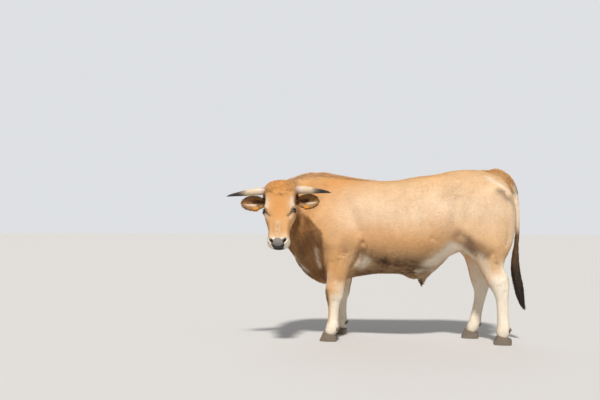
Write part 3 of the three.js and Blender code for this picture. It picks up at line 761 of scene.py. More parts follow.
EYE_HALF, UPPER_LID, LOWER_LID = 0.0205, 0.0136, 0.0104  # of the opening: half its width, and its heights
LID_BALL = 0.0238  # radius that the lids are laid on
LID_CREASE = thousandths([-14, 18.5, 0, 18, 17.5, 0, 2.5, -2.5])  # a furrow along the upper lid


def lid_heights(u, v, half):
    """How far a place is above the upper lid's edge and below the lower's: height * (1 - (u / half)^2)^power."""
    bend = np.clip(1 - (u / half) ** 2, 0, 1)
    return v - UPPER_LID * bend**0.8, -v - LOWER_LID * bend**0.9


for name, side in SIDES.items():
    look, outer, lid_up = eye_axes(side)
    offset = skin_points - EYE_AT[name]
    h, u, v = offset @ look, offset @ outer, offset @ lid_up
    close = (np.sqrt(u * u + v * v) < 0.042) & (h > -0.012)
    above, below = lid_heights(u, v, EYE_HALF)
    gap = np.maximum(np.maximum(above, below), np.abs(u) - EYE_HALF)  # below 0 inside the opening
    flat = np.minimum(u * u + v * v, 0.0235**2)
    ball = np.sqrt(LID_BALL**2 - flat)
    lid = ball + 0.0012 * np.exp(-((gap - 0.003) / 0.0025) ** 2) + 0.002 * fade(0, 0.004, above)
    sunk = np.sqrt(np.maximum(EYE_RADIUS**2 - flat, 0)) - 0.006
    laid = np.where(gap < 0, sunk, lid)
    share = fade(0.026, 0.009, gap) * close
    skin_points = skin_points + look * ((laid - h) * share)[:, None]
    crease = ridge(np.stack([u, v, 0 * u], 1), *LID_CREASE)
    skin_points = skin_points + look * (crease * close)[:, None]

for side in SIDES.values():
    down, right, out = (to_head(skin_points) * [1, side, 1] - NOSTRIL_AT).T
    reach = nostril_reach(right, down)
    hole = np.exp(-(reach**1.6))
    rim = np.exp(-(((np.sqrt(reach) - 1.5) / 0.45) ** 2))
    near = np.exp(-((out / 0.05) ** 2)) * (np.abs(right) < 0.05)
    inward = HEAD_AXES.T @ unit([0.25, side * 0.45, 0.85])
    skin_points = skin_points + inward * (near * (0.003 * rim - 0.017 * hole))[:, None]
print("lids and nostrils", len(skin_points))

# %% [markdown]
# ## Ears
#
# An ear is a thin cupped leaf. Its section is a bent lens, deeper in the middle, and ridges of cartilage run
# along the inside. The ears join the same mesh as the rest of the skin, with their roots sunk in the head, so
# that one skin has all the flesh.

# %% A leaf for each ear
EAR_ROOT, EAR_TIP = (0.112, 0.096, -0.112), (0.152, 0.282, -0.05)
EAR = thousandths([  # share of the length, half width, cup, thickness
    [0, 20, 26, 22],
    [150, 33, 35, 14],
    [330, 47, 36, 9],
    [550, 54, 31, 8],
    [750, 47, 21, 7],
    [920, 28, 10, 6],
    [1000, 7, 3, 4],
])


def ear_frame(side):
    """Root, whole length, the way across the leaf and the way to its back."""
    root = from_head([EAR_ROOT[0], side * EAR_ROOT[1], EAR_ROOT[2]])
    along = from_head([EAR_TIP[0], side * EAR_TIP[1], EAR_TIP[2]]) - root
    a = unit(along)
    back = unit(-FACING - a * (-FACING @ a))
    return root, along, np.cross(a, back) * -side, back


def ear_place(side, share, u, outward, half, cup, thick):
    """centre + across * u * half + back * (cup * (1 - u^2) + outward * thickness / 2), u from -1 to 1."""
    root, along, rise, back = ear_frame(side)
    centre = root + np.asarray(share)[..., None] * along
    deep = cup * (1 - u**2) + outward * thick / 2
    return centre + rise * (u * half)[..., None] + back * deep[..., None]


def ear_grid(side, sides, rows_each):
    share, half, cup, thick = smooth_rows(EAR, rows_each).T[:, :, None]
    angle = (np.arange(sides) + 0.5) * 2 * math.pi / sides
    u = np.cos(angle)[None]
    outward = np.sign(np.sin(angle)) * np.abs(np.sin(angle)) ** 0.7
    inside = (outward < 0) * fade(0.95, 0.6, np.abs(u))
    inside = inside * fade(0.08, 0.3, share) * fade(1, 0.7, share)
    ridges = 0.0022 * np.cos(u * 11 + 1.2 * share) * inside
    wave = 0.0025 * np.sin(share * 17 + u * 2) * np.abs(u) ** 3
    lens = np.broadcast_to(outward, (len(share), sides)) * 0.75
    full = [np.broadcast_to(v, (len(share), sides)) for v in (share, u, half - 0.002, cup)]
    points = ear_place(side, full[0], full[1], lens, full[2], full[3] + wave + ridges, thick * 0.8 + 0.0015)
    return points, full[0], full[1], lens


EAR_ROWS, EAR_SIDES = 7, 40
BODY_TRIANGLES = 168000


def thinned(points, faces, most):
    """The same surface in about so many triangles, taken away first where it is flattest."""
    mesh = bpy.data.meshes.new("full")
    mesh.from_pydata(points.tolist(), [], faces.tolist())
    full = linked("full", mesh)
    modifier = full.modifiers.new("fewer", "DECIMATE")
    modifier.ratio = most / len(faces)
    done = bpy.data.meshes.new_from_object(full.evaluated_get(bpy.context.evaluated_depsgraph_get()))
    bpy.data.objects.remove(full)
    bpy.data.meshes.remove(mesh)
    return read_triangles(done)


skin_points, skin_faces = thinned(skin_points, skin_faces, BODY_TRIANGLES)
first = len(skin_points)
island_points, island_faces = [skin_points], [skin_faces]
ear_of = [np.zeros(first, int)]
ear_share, ear_u, ear_out = ([np.zeros(first)] for _ in range(3))
for number, side in enumerate(SIDES.values(), 1):
    grid, share, u, lens = ear_grid(side, EAR_SIDES, EAR_ROWS)
    faces = closed_faces(len(grid), EAR_SIDES)
    triangles = np.array([t for f in faces for t in ((f[:3], [f[0], f[2], f[3]]) if len(f) == 4 else (f,))])
    island = closed_points(grid)
    middle = island.mean(0)
    if (face_normals(island, triangles) * (island[triangles].mean(1) - middle)).sum() < 0:
        triangles = triangles[:, ::-1]
    island_points.append(island)
    island_faces.append(triangles + first)
    ends = lambda v, low, high: np.concatenate([v.ravel(), [low, high]])
    ear_of.append(np.full(len(island), number))
    ear_share.append(ends(share, 0, 1))
    ear_u.append(ends(u, 0, 0))
    ear_out.append(ends(lens, 0, 0))
    first += len(island)
skin_points, skin_faces = np.vstack(island_points), np.vstack(island_faces)
ear_of, ear_share, ear_u, ear_out = (np.concatenate(v) for v in (ear_of, ear_share, ear_u, ear_out))
skin_normal = point_normals(skin_points, skin_faces)
print("skin with ears", len(skin_points), "points", len(skin_faces), "triangles")

# %% [markdown]
# ## Markings
#
# The colour of the coat is worked out from place alone, so that the skin and every tuft over it agree: four
# masks say how orange, how sooty, how white and how dark a place is. Each is a sum of soft ridges and steps.
# A ripple of a few sine waves breaks up their edges.
# Some masks also carry painted shade and painted light; each such place says so where it is made.

# %% Masks from place
def ripple(points, size, seed):
    """The mean of eight sine waves of about one wavelength in random directions, from -1 to 1."""
    waves = np.random.default_rng(seed)
    k = unit(waves.normal(size=(8, 3))) * (2 * math.pi / size) * waves.uniform(0.6, 1.6, (8, 1))
    return np.sin(points @ k.T + waves.uniform(0, 6.28, 8)).mean(1) * 1.8


# from and to (x, distance from the mid plane, z) and width in millimetres, and strength in thousandths
WARM_BODY = thousandths([
    (20, 250, 1200, 340, 100, 1240, 160, 850),  # crest and withers
    (340, 50, 1250, 1100, 50, 1270, 85, 620),  # back
    (300, 220, 1120, 800, 280, 1100, 110, 180),
    (250, 260, 960, 600, 280, 860, 140, 350),
    (1440, 0, 1290, 1600, 0, 1200, 60, 1000),  # tail head
    (1020, 300, 1020, 1080, 300, 840, 65, 550),  # ribs in front of the flank
    (450, 300, 800, 1000, 300, 760, 110, 600),  # lower ribs
    (200, 240, 800, 260, 240, 500, 90, 450),  # shoulder to forearm
    (330, 250, 700, 330, 240, 460, 60, 450),
    (50, 200, 1100, 20, 200, 800, 110, 300),
    # front of the knee: brown coat, partly painted shade
    (270, 210, 410, 240, 210, 370, 40, 550),  # front of the knee
    # front of the thigh: a warm brown for the painted shade under the thigh's bulge, over the coat's own tone
    (1200, 240, 790, 1420, 230, 670, 50, 800),  # front of the thigh
])
SOOTY_AND_SHADE_BODY = thousandths([
    (400, 280, 710, 550, 290, 650, 50, 420),  # behind the shoulder
    # painted shade in the fold behind the elbow
    (510, 262, 715, 450, 210, 560, 24, 750),
    # these rows: sooty coat, with painted shade along the underside of the belly
    (600, 260, 680, 1000, 240, 660, 85, 360),  # lower ribs and belly
    (580, 260, 600, 960, 220, 570, 70, 620),
    (500, 120, 480, 980, 120, 490, 140, 720),
    (660, 250, 610, 690, 250, 600, 30, 600),
    (860, 150, 580, 980, 120, 560, 30, 600),
    # front of the thigh, here and in the next row: darker coat and painted shade under the thigh's bulge
    (1200, 245, 795, 1300, 250, 745, 40, 800),  # front of the thigh
    (1290, 250, 735, 1420, 235, 670, 48, 970),
    (1520, 200, 1130, 1575, 197, 1085, 30, 950),  # beside the tail
    (1580, 195, 1080, 1620, 185, 1010, 21, 850),
    # front of the knee: brown coat, partly painted shade
    (250, 215, 365, 252, 215, 300, 24, 850),  # front of the knee
    (236, 210, 160, 230, 210, 120, 20, 180),
    (50, 60, 560, 200, 100, 440, 70, 350),  # under the chest
    # painted shade in the hollow of the hock
    (1500, 190, 455, 1530, 190, 430, 16, 120),  # hollow of the hock
])
PALE_AND_LIT_BODY = thousandths([
    (1000, 190, 600, 1180, 180, 725, 40, 1000),  # fold of the flank
    (1180, 200, 725, 1310, 200, 665, 30, 900),
    (1050, 130, 600, 1220, 130, 690, 85, 850),
    (500, 200, 580, 530, 220, 610, 38, 850),  # behind the elbow
    (1430, 155, 1235, 1530, 140, 1187, 28, 550),  # rim of the rump
    (1530, 145, 1190, 1600, 155, 1135, 24, 750),
    (1610, 150, 1000, 1600, 170, 780, 55, 550),  # back of the thigh
    (450, 280, 1000, 1500, 260, 1020, 180, 360),  # side
    # painted light: a cream streak where light grazes the edge of the breast
    (155, 205, 700, 178, 167, 575, 16, 550),  # chest
    (0, 60, 640, 60, 80, 550, 30, 550),
    (330, 210, 430, 340, 210, 380, 40, 750),  # side and back of the knee
    (260, 200, 500, 250, 200, 440, 35, 400),
    (1380, 220, 640, 1460, 200, 500, 50, 550),  # gaskin
    (1560, 180, 580, 1580, 180, 450, 45, 900),
])
WARM_FACE = thousandths([
    (0, 0, -20, 60, 0, 0, 110, 950),  # poll
    (60, 0, 0, 220, 0, 0, 70, 1000),  # forehead
    (220, 0, 0, 400, 15, 0, 45, 620),
    (290, 70, -30, 420, 75, -60, 32, 450),  # cheeks
    (100, 118, -80, 200, 118, -100, 40, 400),
])
SOOTY_FACE = thousandths([
    (120, 20, 0, 109, 0, 0, 6.5, 800),  # whorl
    (250, 86, -25, 276, 66, -20, 9, 900),  # below the eye
    (236, 98, -30, 252, 86, -25, 9, 800),
    (84, 92, -75, 70, 120, -95, 22, 920),  # under the horn
    (150, 110, -150, 300, 80, -170, 60, 220),
])
PALE_FACE = thousandths([
    (140, 94, -20, 200, 90, -20, 18, 660),  # over the eye
    (190, 96, -30, 205, 108, -45, 17, 1000),
    (266, 98, -45, 282, 88, -30, 14, 450),  # under the eye
    (340, 0, 0, 430, 0, 0, 20, 220),  # bridge of the nose
    (475, 60, -50, 470, 60, -100, 42, 1000),  # muzzle
])


# the dark front of the knee, partly painted shade, kept free of the white below it
KNEE_SHADE_SPOT = thousandths([(250, 215, 370, 252, 215, 300, 28, 1000)])
NOSE_BRIDGE = thousandths([(366, 0, 0, 416, 0, 0, 26, 1000)])


def strongest(places, ridges):
    """1 minus the product of what each ridge leaves over, so that overlapping ridges never pass 1."""
    left = np.ones(len(places))
    for row in ridges:
        left *= 1 - np.clip(ridge(places, *row), 0, 1)
    return 1 - left


print("ridges of colour", sum(map(len, (WARM_BODY, SOOTY_AND_SHADE_BODY, PALE_AND_LIT_BODY, WARM_FACE, SOOTY_FACE, PALE_FACE))))

# %% [markdown]
# The ridges give the large shapes. Legs, tail, breast, muzzle, eyes and ears have marks that follow their own
# form, such as a pale leg with a dark knee or a bare pad between the nostrils, so they are written as steps.
# Some are painted shade: the head's shadow on the breast, nostrils, ear hollows; in part knees, lips, eye rings.

# %% Marks of body, face, eyes and ears
def nostril_hole(points):
    """1 in the middle of a nostril's comma, 0 outside."""
    down, right, _ = to_head(points).T
    return np.exp(-(nostril_reach(np.abs(right) - NOSTRIL_AT[1], down - NOSTRIL_AT[0]) ** 1.6))


def body_marks(points, normals, wobble, body):
    """Masks of orange, soot and white on trunk, neck, legs and tail, with painted shade and painted light in them."""
    x, y, z = points.T
    p = pattern_places(points)
    moved = p + 0.02 * np.stack([wobble, 0 * wobble, ripple(points, 0.16, 6)], 1)
    warm, sooty_and_shade, pale_and_lit = (strongest(moved, r) * body for r in (WARM_BODY, SOOTY_AND_SHADE_BODY, PALE_AND_LIT_BODY))
    fore, hind = x < 0.9, x >= 0.9
    front = np.clip(-normals[:, 0], 0, 1)
    below_knee = fade(0.4, 0.31, z + 0.05 * wobble) * fore
    knee_front = fore * fade(0.1, 0.65, front) * fade(0.1, 0.16, z + 0.02 * wobble)
    knee_shade_spot = strongest(p, KNEE_SHADE_SPOT)
    pale_and_lit = np.maximum(pale_and_lit, below_knee * (1 - 0.85 * knee_front) * (1 - 0.9 * knee_shade_spot))
    below_hock = fade(0.56, 0.42, z + 0.04 * wobble + 0.1 * (front - 0.3))
    pale_and_lit = np.maximum(pale_and_lit, below_hock * hind * (p[:, 0] < 1.64))
    inner = fade(0.25, 0.85, -normals[:, 1] * np.sign(y)) * fade(0.66, 0.55, z)
    inner = inner * fade(0.05, 0.09, np.abs(y))
    sheath = fade(0.09, 0.06, np.hypot(x - 0.95, y)) * fade(0.55, 0.5, z)
    pale_and_lit = np.maximum(pale_and_lit, 0.75 * inner * body) * (1 - 0.85 * sheath)
    sooty_and_shade = np.maximum(sooty_and_shade, sheath * (0.45 + 0.4 * fade(0.47, 0.43, z)))
    tail = fade(1.6, 1.64, x) * (np.abs(y) < 0.045) * fade(1.24, 1.18, z)
    pale_and_lit = np.maximum(pale_and_lit * (1 - tail), 0.62 * tail * fade(0.8, 0.92, z))
    sooty_and_shade = np.maximum(sooty_and_shade * (1 - tail), tail * fade(1.0, 0.78, z + 0.03 * wobble))
    warm = warm * (1 - tail * fade(1.18, 1.1, z))
    crust = fade(0.25, 0.75, ripple(points, 0.045, 8) * 0.5 + 0.5) * strongest(p, SOOTY_AND_SHADE_BODY[3:5])
    sooty_and_shade = np.clip(sooty_and_shade + 0.3 * crust * body, 0, 1)
    # painted shadow of the head on the breast and the neck's front: dark warm brown, hard edged, on both sides
    breast_shade_edge = 0.222 - 1.05 * np.maximum(z - 0.83, 0) + 0.01 * wobble
    breast = fade(0.016, -0.016, x - breast_shade_edge) * fade(1.06, 0.92, z)
    breast = breast * body * fade(0.4, 0.48, z)
    sooty_and_shade = np.maximum(sooty_and_shade, (0.7 + 0.1 * ripple(points, 0.05, 12)) * breast)
    warm = np.maximum(warm, 0.8 * breast)
    return warm * (1 - 0.7 * pale_and_lit), sooty_and_shade * (1 - 0.8 * pale_and_lit), pale_and_lit


def face_marks(points, wobble, on_face, warm, sooty_and_shade, pale_and_lit):
    """The face's marks added: a dark bare pad, dark lips partly painted shade, and painted shade in the nostrils."""
    d, r, o = to_head(points).T
    f = np.stack([d, np.abs(r), o], 1) + 0.004 * np.stack([wobble, 0 * wobble, 0 * wobble], 1)
    warm = warm + strongest(f, WARM_FACE) * on_face
    sooty_and_shade = sooty_and_shade + strongest(f, SOOTY_FACE) * on_face
    pale_and_lit = pale_and_lit + strongest(f, PALE_FACE) * on_face
    specks = fade(0.32, 0.52, ripple(points, 0.011, 31)) * strongest(f, NOSE_BRIDGE)
    sooty_and_shade, pale_and_lit = np.maximum(sooty_and_shade, specks * on_face), pale_and_lit * (1 - specks * on_face)
    muzzle = fade(0.448, 0.46, d + 0.006 * wobble) * on_face
    pale_and_lit = np.maximum(pale_and_lit, muzzle)
    warm, sooty_and_shade = warm * (1 - muzzle), sooty_and_shade * (1 - muzzle)
    ragged = 0.0025 * ripple(points, 0.012, 9)
    pad_half = 0.0455 - 0.012 * fade(-0.045, -0.105, o) + ragged
    pad_top = 0.4615 + 5.0 * r**2 - 0.006 * np.cos(r * 75) + ragged
    pad = fade(-0.001, 0.003, d - pad_top) * fade(0.002, -0.002, np.abs(r) - pad_half)
    pad = pad * fade(-0.122, -0.112, o)
    # dark lips at the bottom of the muzzle, partly painted shade under it
    dark_lips_and_shade = fade(0.016, 0.008, np.abs(o + 0.112)) * fade(0.474, 0.488, d)
    dark_lips_and_shade = dark_lips_and_shade * fade(0.05, 0.036, np.abs(r) + ragged)
    mouth_edge = -0.056 + 0.55 * np.maximum(np.abs(r) - 0.012, 0) + 0.5 * ragged
    mottled = 0.16 * ripple(points, 0.006, 33) + 0.5 * fade(0.004, -0.007, o - mouth_edge)
    dark = np.clip(0.52 + mottled, 0.46, 1) * pad * on_face
    dark = np.maximum(dark, 0.8 * dark_lips_and_shade * on_face)
    # painted shade in the nostrils: black where their hollows are deepest
    dark = np.maximum(dark, fade(0.12, 0.45, nostril_hole(points)) * on_face * fade(0.43, 0.45, d))
    return warm, sooty_and_shade, pale_and_lit, dark


def eye_marks(points, sooty_and_shade, pale_and_lit, dark):
    """Dark lid rims in a darker ring round each eye; its wider top is partly painted shade of the upper lid."""
    for name, side in SIDES.items():
        look, outer, lid_up = eye_axes(side)
        offset = points - EYE_AT[name]
        eu, ev, eh = offset @ outer, offset @ lid_up, offset @ look
        gap = np.maximum(np.maximum(*lid_heights(eu, ev, EYE_HALF + 0.001)), np.abs(eu) - EYE_HALF)
        near_eye = (eh > -0.014) * (np.hypot(eu, ev) < 0.045)
        # the ring reaches further above the eye: partly painted shade of the upper lid
        reach = 0.0085 + 0.0045 * fade(-0.004, 0.008, ev)
        dark = np.maximum(dark, fade(0.0046, 0.0034, gap) * near_eye)
        sooty_and_shade = np.maximum(sooty_and_shade, 0.96 * fade(reach, 0.0046, gap) * near_eye)
        pale_and_lit = pale_and_lit * (1 - fade(reach, 0.005, gap) * near_eye)
    return sooty_and_shade, pale_and_lit, dark


def markings(points, normals, ear, share, u, out):
    """Warm, sooty, pale and dark for each point. The last four arguments place it on its ear, if it is on one."""
    on_face = head_share(points)
    wobble = ripple(points, 0.22, 3) * 0.5 + ripple(points, 0.07, 4) * 0.35 + ripple(points, 0.025, 5) * 0.25
    warm, sooty_and_shade, pale_and_lit = body_marks(points, normals, wobble, 1 - on_face)
    warm, sooty_and_shade, pale_and_lit, dark = face_marks(points, wobble, on_face, warm, sooty_and_shade, pale_and_lit)
    sooty_and_shade, pale_and_lit, dark = eye_marks(points, sooty_and_shade, pale_and_lit, dark)
    on_ear = ear > 0
    inside = fade(0.1, -0.3, out) * on_ear
    rim = fade(0.62, 0.9, np.abs(u))
    # painted shade in the hollow of each ear, darkest in its middle
    ear_hollow_shade = np.exp(-(((share - 0.3) / 0.22) ** 4 + ((u - 0.02) / 0.5) ** 4))
    strip = np.exp(-(((u + 0.3 - 0.35 * (share - 0.5)) / 0.16) ** 2))
    strip = strip * fade(0.3, 0.5, share) * fade(0.95, 0.75, share)
    patchy = 0.12 * ripple(points, 0.02, 11)
    ear_soot_and_shade = np.clip(0.46 + 2 * patchy + 0.6 * ear_hollow_shade + 0.2 * rim, 0, 1)
    ear_soot_and_shade = inside * ear_soot_and_shade + (1 - inside) * (0.1 + 0.34 * rim)
    warm = np.where(on_ear, 0.62, warm)
    sooty_and_shade = np.where(on_ear, ear_soot_and_shade * (1 - 0.85 * strip * inside), sooty_and_shade)
    pale_and_lit = np.where(on_ear, 0.75 * strip * inside, pale_and_lit)
    dark = np.where(on_ear, 0, dark)
    return np.clip(np.stack([warm, sooty_and_shade, pale_and_lit, dark], 1), 0, 1)


skin_marks = markings(skin_points, skin_normal, ear_of, ear_share, ear_u, ear_out)
print("mean masks", skin_marks.mean(0).round(3))

# %% [markdown]
# ## Coat colour as a node group
#
# One node group turns the masks into a colour, and every material that shows coat uses it: the skin under the
# hair and the hair itself. Noise on Object coordinates adds the small unevenness that a real coat has.

# %% Helpers that place nodes
def set_inputs(tree, node, values):
    for name, value in values.items():
        socket = node.inputs[name]
        if isinstance(value, bpy.types.NodeSocket):
            tree.links.new(value, socket)
        else:
            socket.default_value = value
    return node


def add_node(tree, kind, settings=None, **values):
    node = tree.nodes.new(kind)
    for name, value in (settings or {}).items():
        setattr(node, name, value)
    return set_inputs(tree, node, values)


def maths(tree, operation, a, b=0.0, clamp=False):
    node = tree.nodes.new("ShaderNodeMath")
    node.operation, node.use_clamp = operation, clamp
    return set_inputs(tree, node, {0: a, 1: b}).outputs[0]


def blend_colours(tree, share, a, b, mode="MIX"):
    node = tree.nodes.new("ShaderNodeMix")
    node.data_type, node.blend_type = "RGBA", mode
    return set_inputs(tree, node, {0: share, 6: a, 7: b}).outputs[2]


def noise(tree, vector, scale, detail=2.0, rough=0.5):
    node = add_node(tree, "ShaderNodeTexNoise", None, Vector=vector, Scale=scale, Detail=detail, Roughness=rough)
    return node.outputs["Fac"]


def object_place(tree):
    return add_node(tree, "ShaderNodeTexCoord").outputs["Object"]


def number_on(tree, attribute):
    """The number that the points carry under this name."""
    return add_node(tree, "ShaderNodeAttribute", {"attribute_name": attribute}).outputs["Fac"]


def drawn_out(tree, place, scale):
    return add_node(tree, "ShaderNodeMapping", None, Vector=place, Scale=scale).outputs[0]


def scaled(tree, value, factor, base):
    """base + value * factor."""
    return maths(tree, "ADD", base, maths(tree, "MULTIPLY", value, factor))


def between(tree, value, low, high):
    """0 where a value is low or beyond, 1 where it is high or beyond."""
    limits = {"Value": value, "From Min": low, "From Max": high}
    return add_node(tree, "ShaderNodeMapRange", {"clamp": True}, **limits).outputs[0]


def grey(tree, value):
    return add_node(tree, "ShaderNodeCombineColor", None, Red=value, Green=value, Blue=value).outputs[0]


def bump(tree, strength, distance, height):
    return add_node(tree, "ShaderNodeBump", None, Strength=strength, Distance=distance, Height=height).outputs[0]


def new_group(name, inputs, outputs):
    tree = bpy.data.node_groups.new(name, "ShaderNodeTree")
    for title, kind, value in inputs:
        socket = tree.interface.new_socket(title, in_out="INPUT", socket_type=kind)
        if value is not None:
            socket.default_value = value
    for title, kind in outputs:
        tree.interface.new_socket(title, in_out="OUTPUT", socket_type=kind)
    return tree, tree.nodes.new("NodeGroupInput").outputs, tree.nodes.new("NodeGroupOutput").inputs


FAWN, ORANGE = (0.68, 0.415, 0.205, 1), (0.58, 0.265, 0.075, 1)
SOOT_AND_SHADE, CREAM_AND_LIT = (0.08, 0.033, 0.009, 1), (0.83, 0.73, 0.59, 1)
SLATE, BLACK = (0.25, 0.222, 0.205, 1), (0.01, 0.008, 0.007, 1)

coat_group, gin, gout = new_group(
    "coat colour",
    [("Marks", "NodeSocketColor", None), ("Dark", "NodeSocketFloat", 0.0), ("Shade", "NodeSocketFloat", 0.5)],
    [("Color", "NodeSocketColor"), ("Roughness", "NodeSocketFloat"), ("Hair", "NodeSocketFloat")],
)
tree, place = coat_group, object_place(coat_group)
broad = noise(tree, place, 7.0, 4.0, 0.55)
fine = noise(tree, place, 90.0, 3.0, 0.6)
hairs = noise(tree, drawn_out(tree, place, (0.3, 1.0, 0.55)), 420.0, 2.0, 0.6)
marks = add_node(tree, "ShaderNodeSeparateColor", None, Color=gin["Marks"]).outputs
swing = maths(tree, "SUBTRACT", scaled(tree, fine, 0.5, maths(tree, "MULTIPLY", broad, 0.5)), 0.5)


def broken_up(mask, amount):
    """A mask moved by the noise, most of all where it is half way."""
    both = maths(tree, "MULTIPLY", mask, maths(tree, "SUBTRACT", 1.0, mask))
    return maths(tree, "ADD", mask, maths(tree, "MULTIPLY", maths(tree, "MULTIPLY", both, amount), swing), clamp=True)


colour = blend_colours(tree, broken_up(marks[0], 4.0), FAWN, ORANGE)
colour = blend_colours(tree, broken_up(marks[1], 5.0), colour, SOOT_AND_SHADE)
colour = blend_colours(tree, broken_up(marks[2], 3.0), colour, CREAM_AND_LIT)
# light: the coat's noise and each tuft's Shade, a random tone with painted shade towards its root
light = maths(tree, "ADD", scaled(tree, gin["Shade"], 0.44, maths(tree, "MULTIPLY", swing, 0.5)), 0.76)
colour = blend_colours(tree, 1.0, colour, grey(tree, light), "MULTIPLY")
bare_colour = blend_colours(tree, between(tree, gin["Dark"], 0.5, 1.0), SLATE, BLACK)
bareness = between(tree, gin["Dark"], 0.15, 0.45)
colour = blend_colours(tree, bareness, colour, bare_colour)
tree.links.new(colour, gout["Color"])
rough = maths(tree, "SUBTRACT", scaled(tree, fine, 0.16, 0.62), maths(tree, "MULTIPLY", bareness, 0.24))
tree.links.new(rough, gout["Roughness"])
tree.links.new(hairs, gout["Hair"])
print("coat colour group", len(tree.nodes), "nodes")

# %% [markdown]
# The skin's material adds a bump from noise drawn out along the body, as flat short hair looks from afar. The
# tufts carry one more number each, a random shade, so that neighbouring tufts never look the same.
# Along each tuft the number also falls towards the root and rises towards the tip: painted shade in the coat.

# %% Coat materials
def new_material(name):
    material = bpy.data.materials.new(name)
    material.use_nodes = True
    return material, material.node_tree, material.node_tree.nodes["Principled BSDF"]


def finish(tree, shader, colour, roughness, normal):
    set_inputs(tree, shader, {"Base Color": colour, "Roughness": roughness, "Normal": normal})


def coat_material(name, with_shade, raised):
    material, tree, shader = new_material(name)
    masks = add_node(tree, "ShaderNodeAttribute", {"attribute_name": "marks"}).outputs
    group = add_node(tree, "ShaderNodeGroup", {"node_tree": coat_group}, Marks=masks["Color"], Dark=masks["Alpha"])
    if with_shade:
        set_inputs(tree, group, {"Shade": number_on(tree, "shade")})
    set_inputs(tree, shader, {"Base Color": group.outputs["Color"], "Roughness": group.outputs["Roughness"]})
    shader.inputs["Specular IOR Level"].default_value = 0.32
    if raised:
        set_inputs(tree, shader, {"Normal": bump(tree, 0.55, 0.0022, group.outputs["Hair"])})
    return material


skin_material = coat_material("coat over skin", False, True)
tuft_material = coat_material("coat tufts", True, False)


FIELDS = {"FLOAT": "value", "FLOAT_COLOR": "color", "FLOAT_VECTOR": "vector"}


def store(mesh, name, kind, values):
    """Numbers, colours or vectors on a mesh's points, under a name."""
    layer = mesh.attributes.new(name, kind, "POINT")
    layer.data.foreach_set(FIELDS[kind], np.ascontiguousarray(values, np.float32).ravel())


skin = new_object("skin", skin_points, skin_faces.tolist())
store(skin.data, "marks", "FLOAT_COLOR", skin_marks)
skin.data.materials.append(skin_material)
FLESH = ("trunk", "neck", "head", "sheath", "tail", "shoulder_", "forearm_", "thigh_", "gaskin_", "cannon_")
flesh_nodes = [n for n in frame["nodes"] if n.startswith(FLESH) and n != "tail_switch"]
flesh_nodes += ["ear_left", "ear_right"]
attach(skin, "root")
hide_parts(*flesh_nodes)
print("one skin replaces", flesh_nodes)

# %% [markdown]
# ## An unwrap for the hair
#
# When the model is baked, each tuft's colour comes from one small patch of its map. The patch has to sit where
# the tuft grows, so the skin is unwrapped first. The body is split into regions, each region into the six
# directions its skin can face, and every such chart is laid flat along its direction. Shelves of charts, tall
# ones first, fill the square.

# %% Regions of the body
ON_NECK, ON_HEAD, ON_EARS, ON_TAIL, FIRST_LEG = range(6, 11)  # their places in the list
REGIONS = ["side_left", "side_right", "quarter_left", "quarter_right", "shoulder_left", "shoulder_right", "neck",
           "head", "ears", "tail", "fore_left", "fore_right", "hind_left", "hind_right"]


def in_leg(points, leg, top, room=0.012):
    """True inside the upright loft of a leg below a height, with a little room round it."""
    side, pattern = LEGS[leg][:2]
    x, y, z = points.T
    order = np.argsort(pattern[:, 0])
    front, back, middle, half = (np.interp(z, pattern[order, 0], pattern[order, k]) for k in (1, 2, 3, 4))
    shift = stand_off(leg, z)
    inside = (x > front + shift - room) & (x < back + shift + room)
    return inside & (np.abs(y - side * middle) < half + room) & (z < top)


def region_of(points, ear):
    x, y, z = points.T
    left = y < 0
    region = np.where(left, 0, 1)
    region = np.where(x > 1.12, np.where(left, 2, 3), region)
    region = np.where(x < 0.42, np.where(left, 4, 5), region)
    region = np.where((y < -0.27) & (x < 0.14) | (x < 0.02), ON_NECK, region)
    region = np.where(head_share(points) > 0.5, ON_HEAD, region)
    region = np.where((x > 1.615) & (np.abs(y) < 0.042) & (z < 1.22), ON_TAIL, region)
    for number, (leg, top) in enumerate(zip(LEGS, (0.6, 0.6, 0.66, 0.66)), FIRST_LEG):
        region = np.where(in_leg(points, leg, top), number, region)
    return np.where(ear > 0, ON_EARS, region)


def facing_of(normals):
    """0 to 5: the axis that a normal is nearest to, and its sign."""
    axis = np.abs(normals).argmax(1)
    return axis * 2 + (np.take_along_axis(normals, axis[:, None], 1)[:, 0] < 0)


FLAT_AXES = np.array([(1, 2), (0, 2), (0, 1)])


def flat_place(points, facing):
    """The two coordinates that are left when a point is seen along its chart's axis."""
    return np.take_along_axis(points, FLAT_AXES[facing // 2], 1)


def pack_charts(low, high, gap=0.03):
    """A corner for each chart's box on shelves in a square, and the side of that square."""
    size = high - low + gap
    side = math.sqrt(size.prod(1).sum()) * 1.04
    while True:
        corners, x, y, shelf = np.zeros_like(low), 0.0, 0.0, 0.0
        for k in np.argsort(-size[:, 1]):
            if x + size[k, 0] > side:
                x, y, shelf = 0.0, y + shelf, 0.0
            corners[k] = x, y
            x, shelf = x + size[k, 0], max(shelf, size[k, 1])
        if y + shelf <= side:
            return corners, side
        side *= 1.02


skin_chart = region_of(skin_points, ear_of) * 6 + facing_of(skin_normal)
skin_flat = flat_place(skin_points, facing_of(skin_normal))
charts = np.unique(skin_chart)
chart_low = np.array([skin_flat[skin_chart == c].min(0) for c in charts])
chart_high = np.array([skin_flat[skin_chart == c].max(0) for c in charts])
chart_corner, atlas_side = pack_charts(chart_low, chart_high)


def unwrapped(points, normals, ear):
    """Each root's place on the map, from 0 to 1."""
    facing = facing_of(normals)
    chart = np.searchsorted(charts, region_of(points, ear) * 6 + facing)
    chart = np.minimum(chart, len(charts) - 1)
    flat = np.clip(flat_place(points, facing), chart_low[chart], chart_high[chart])
    return 0.004 + 0.992 * (flat - chart_low[chart] + chart_corner[chart] + 0.01) / atlas_side


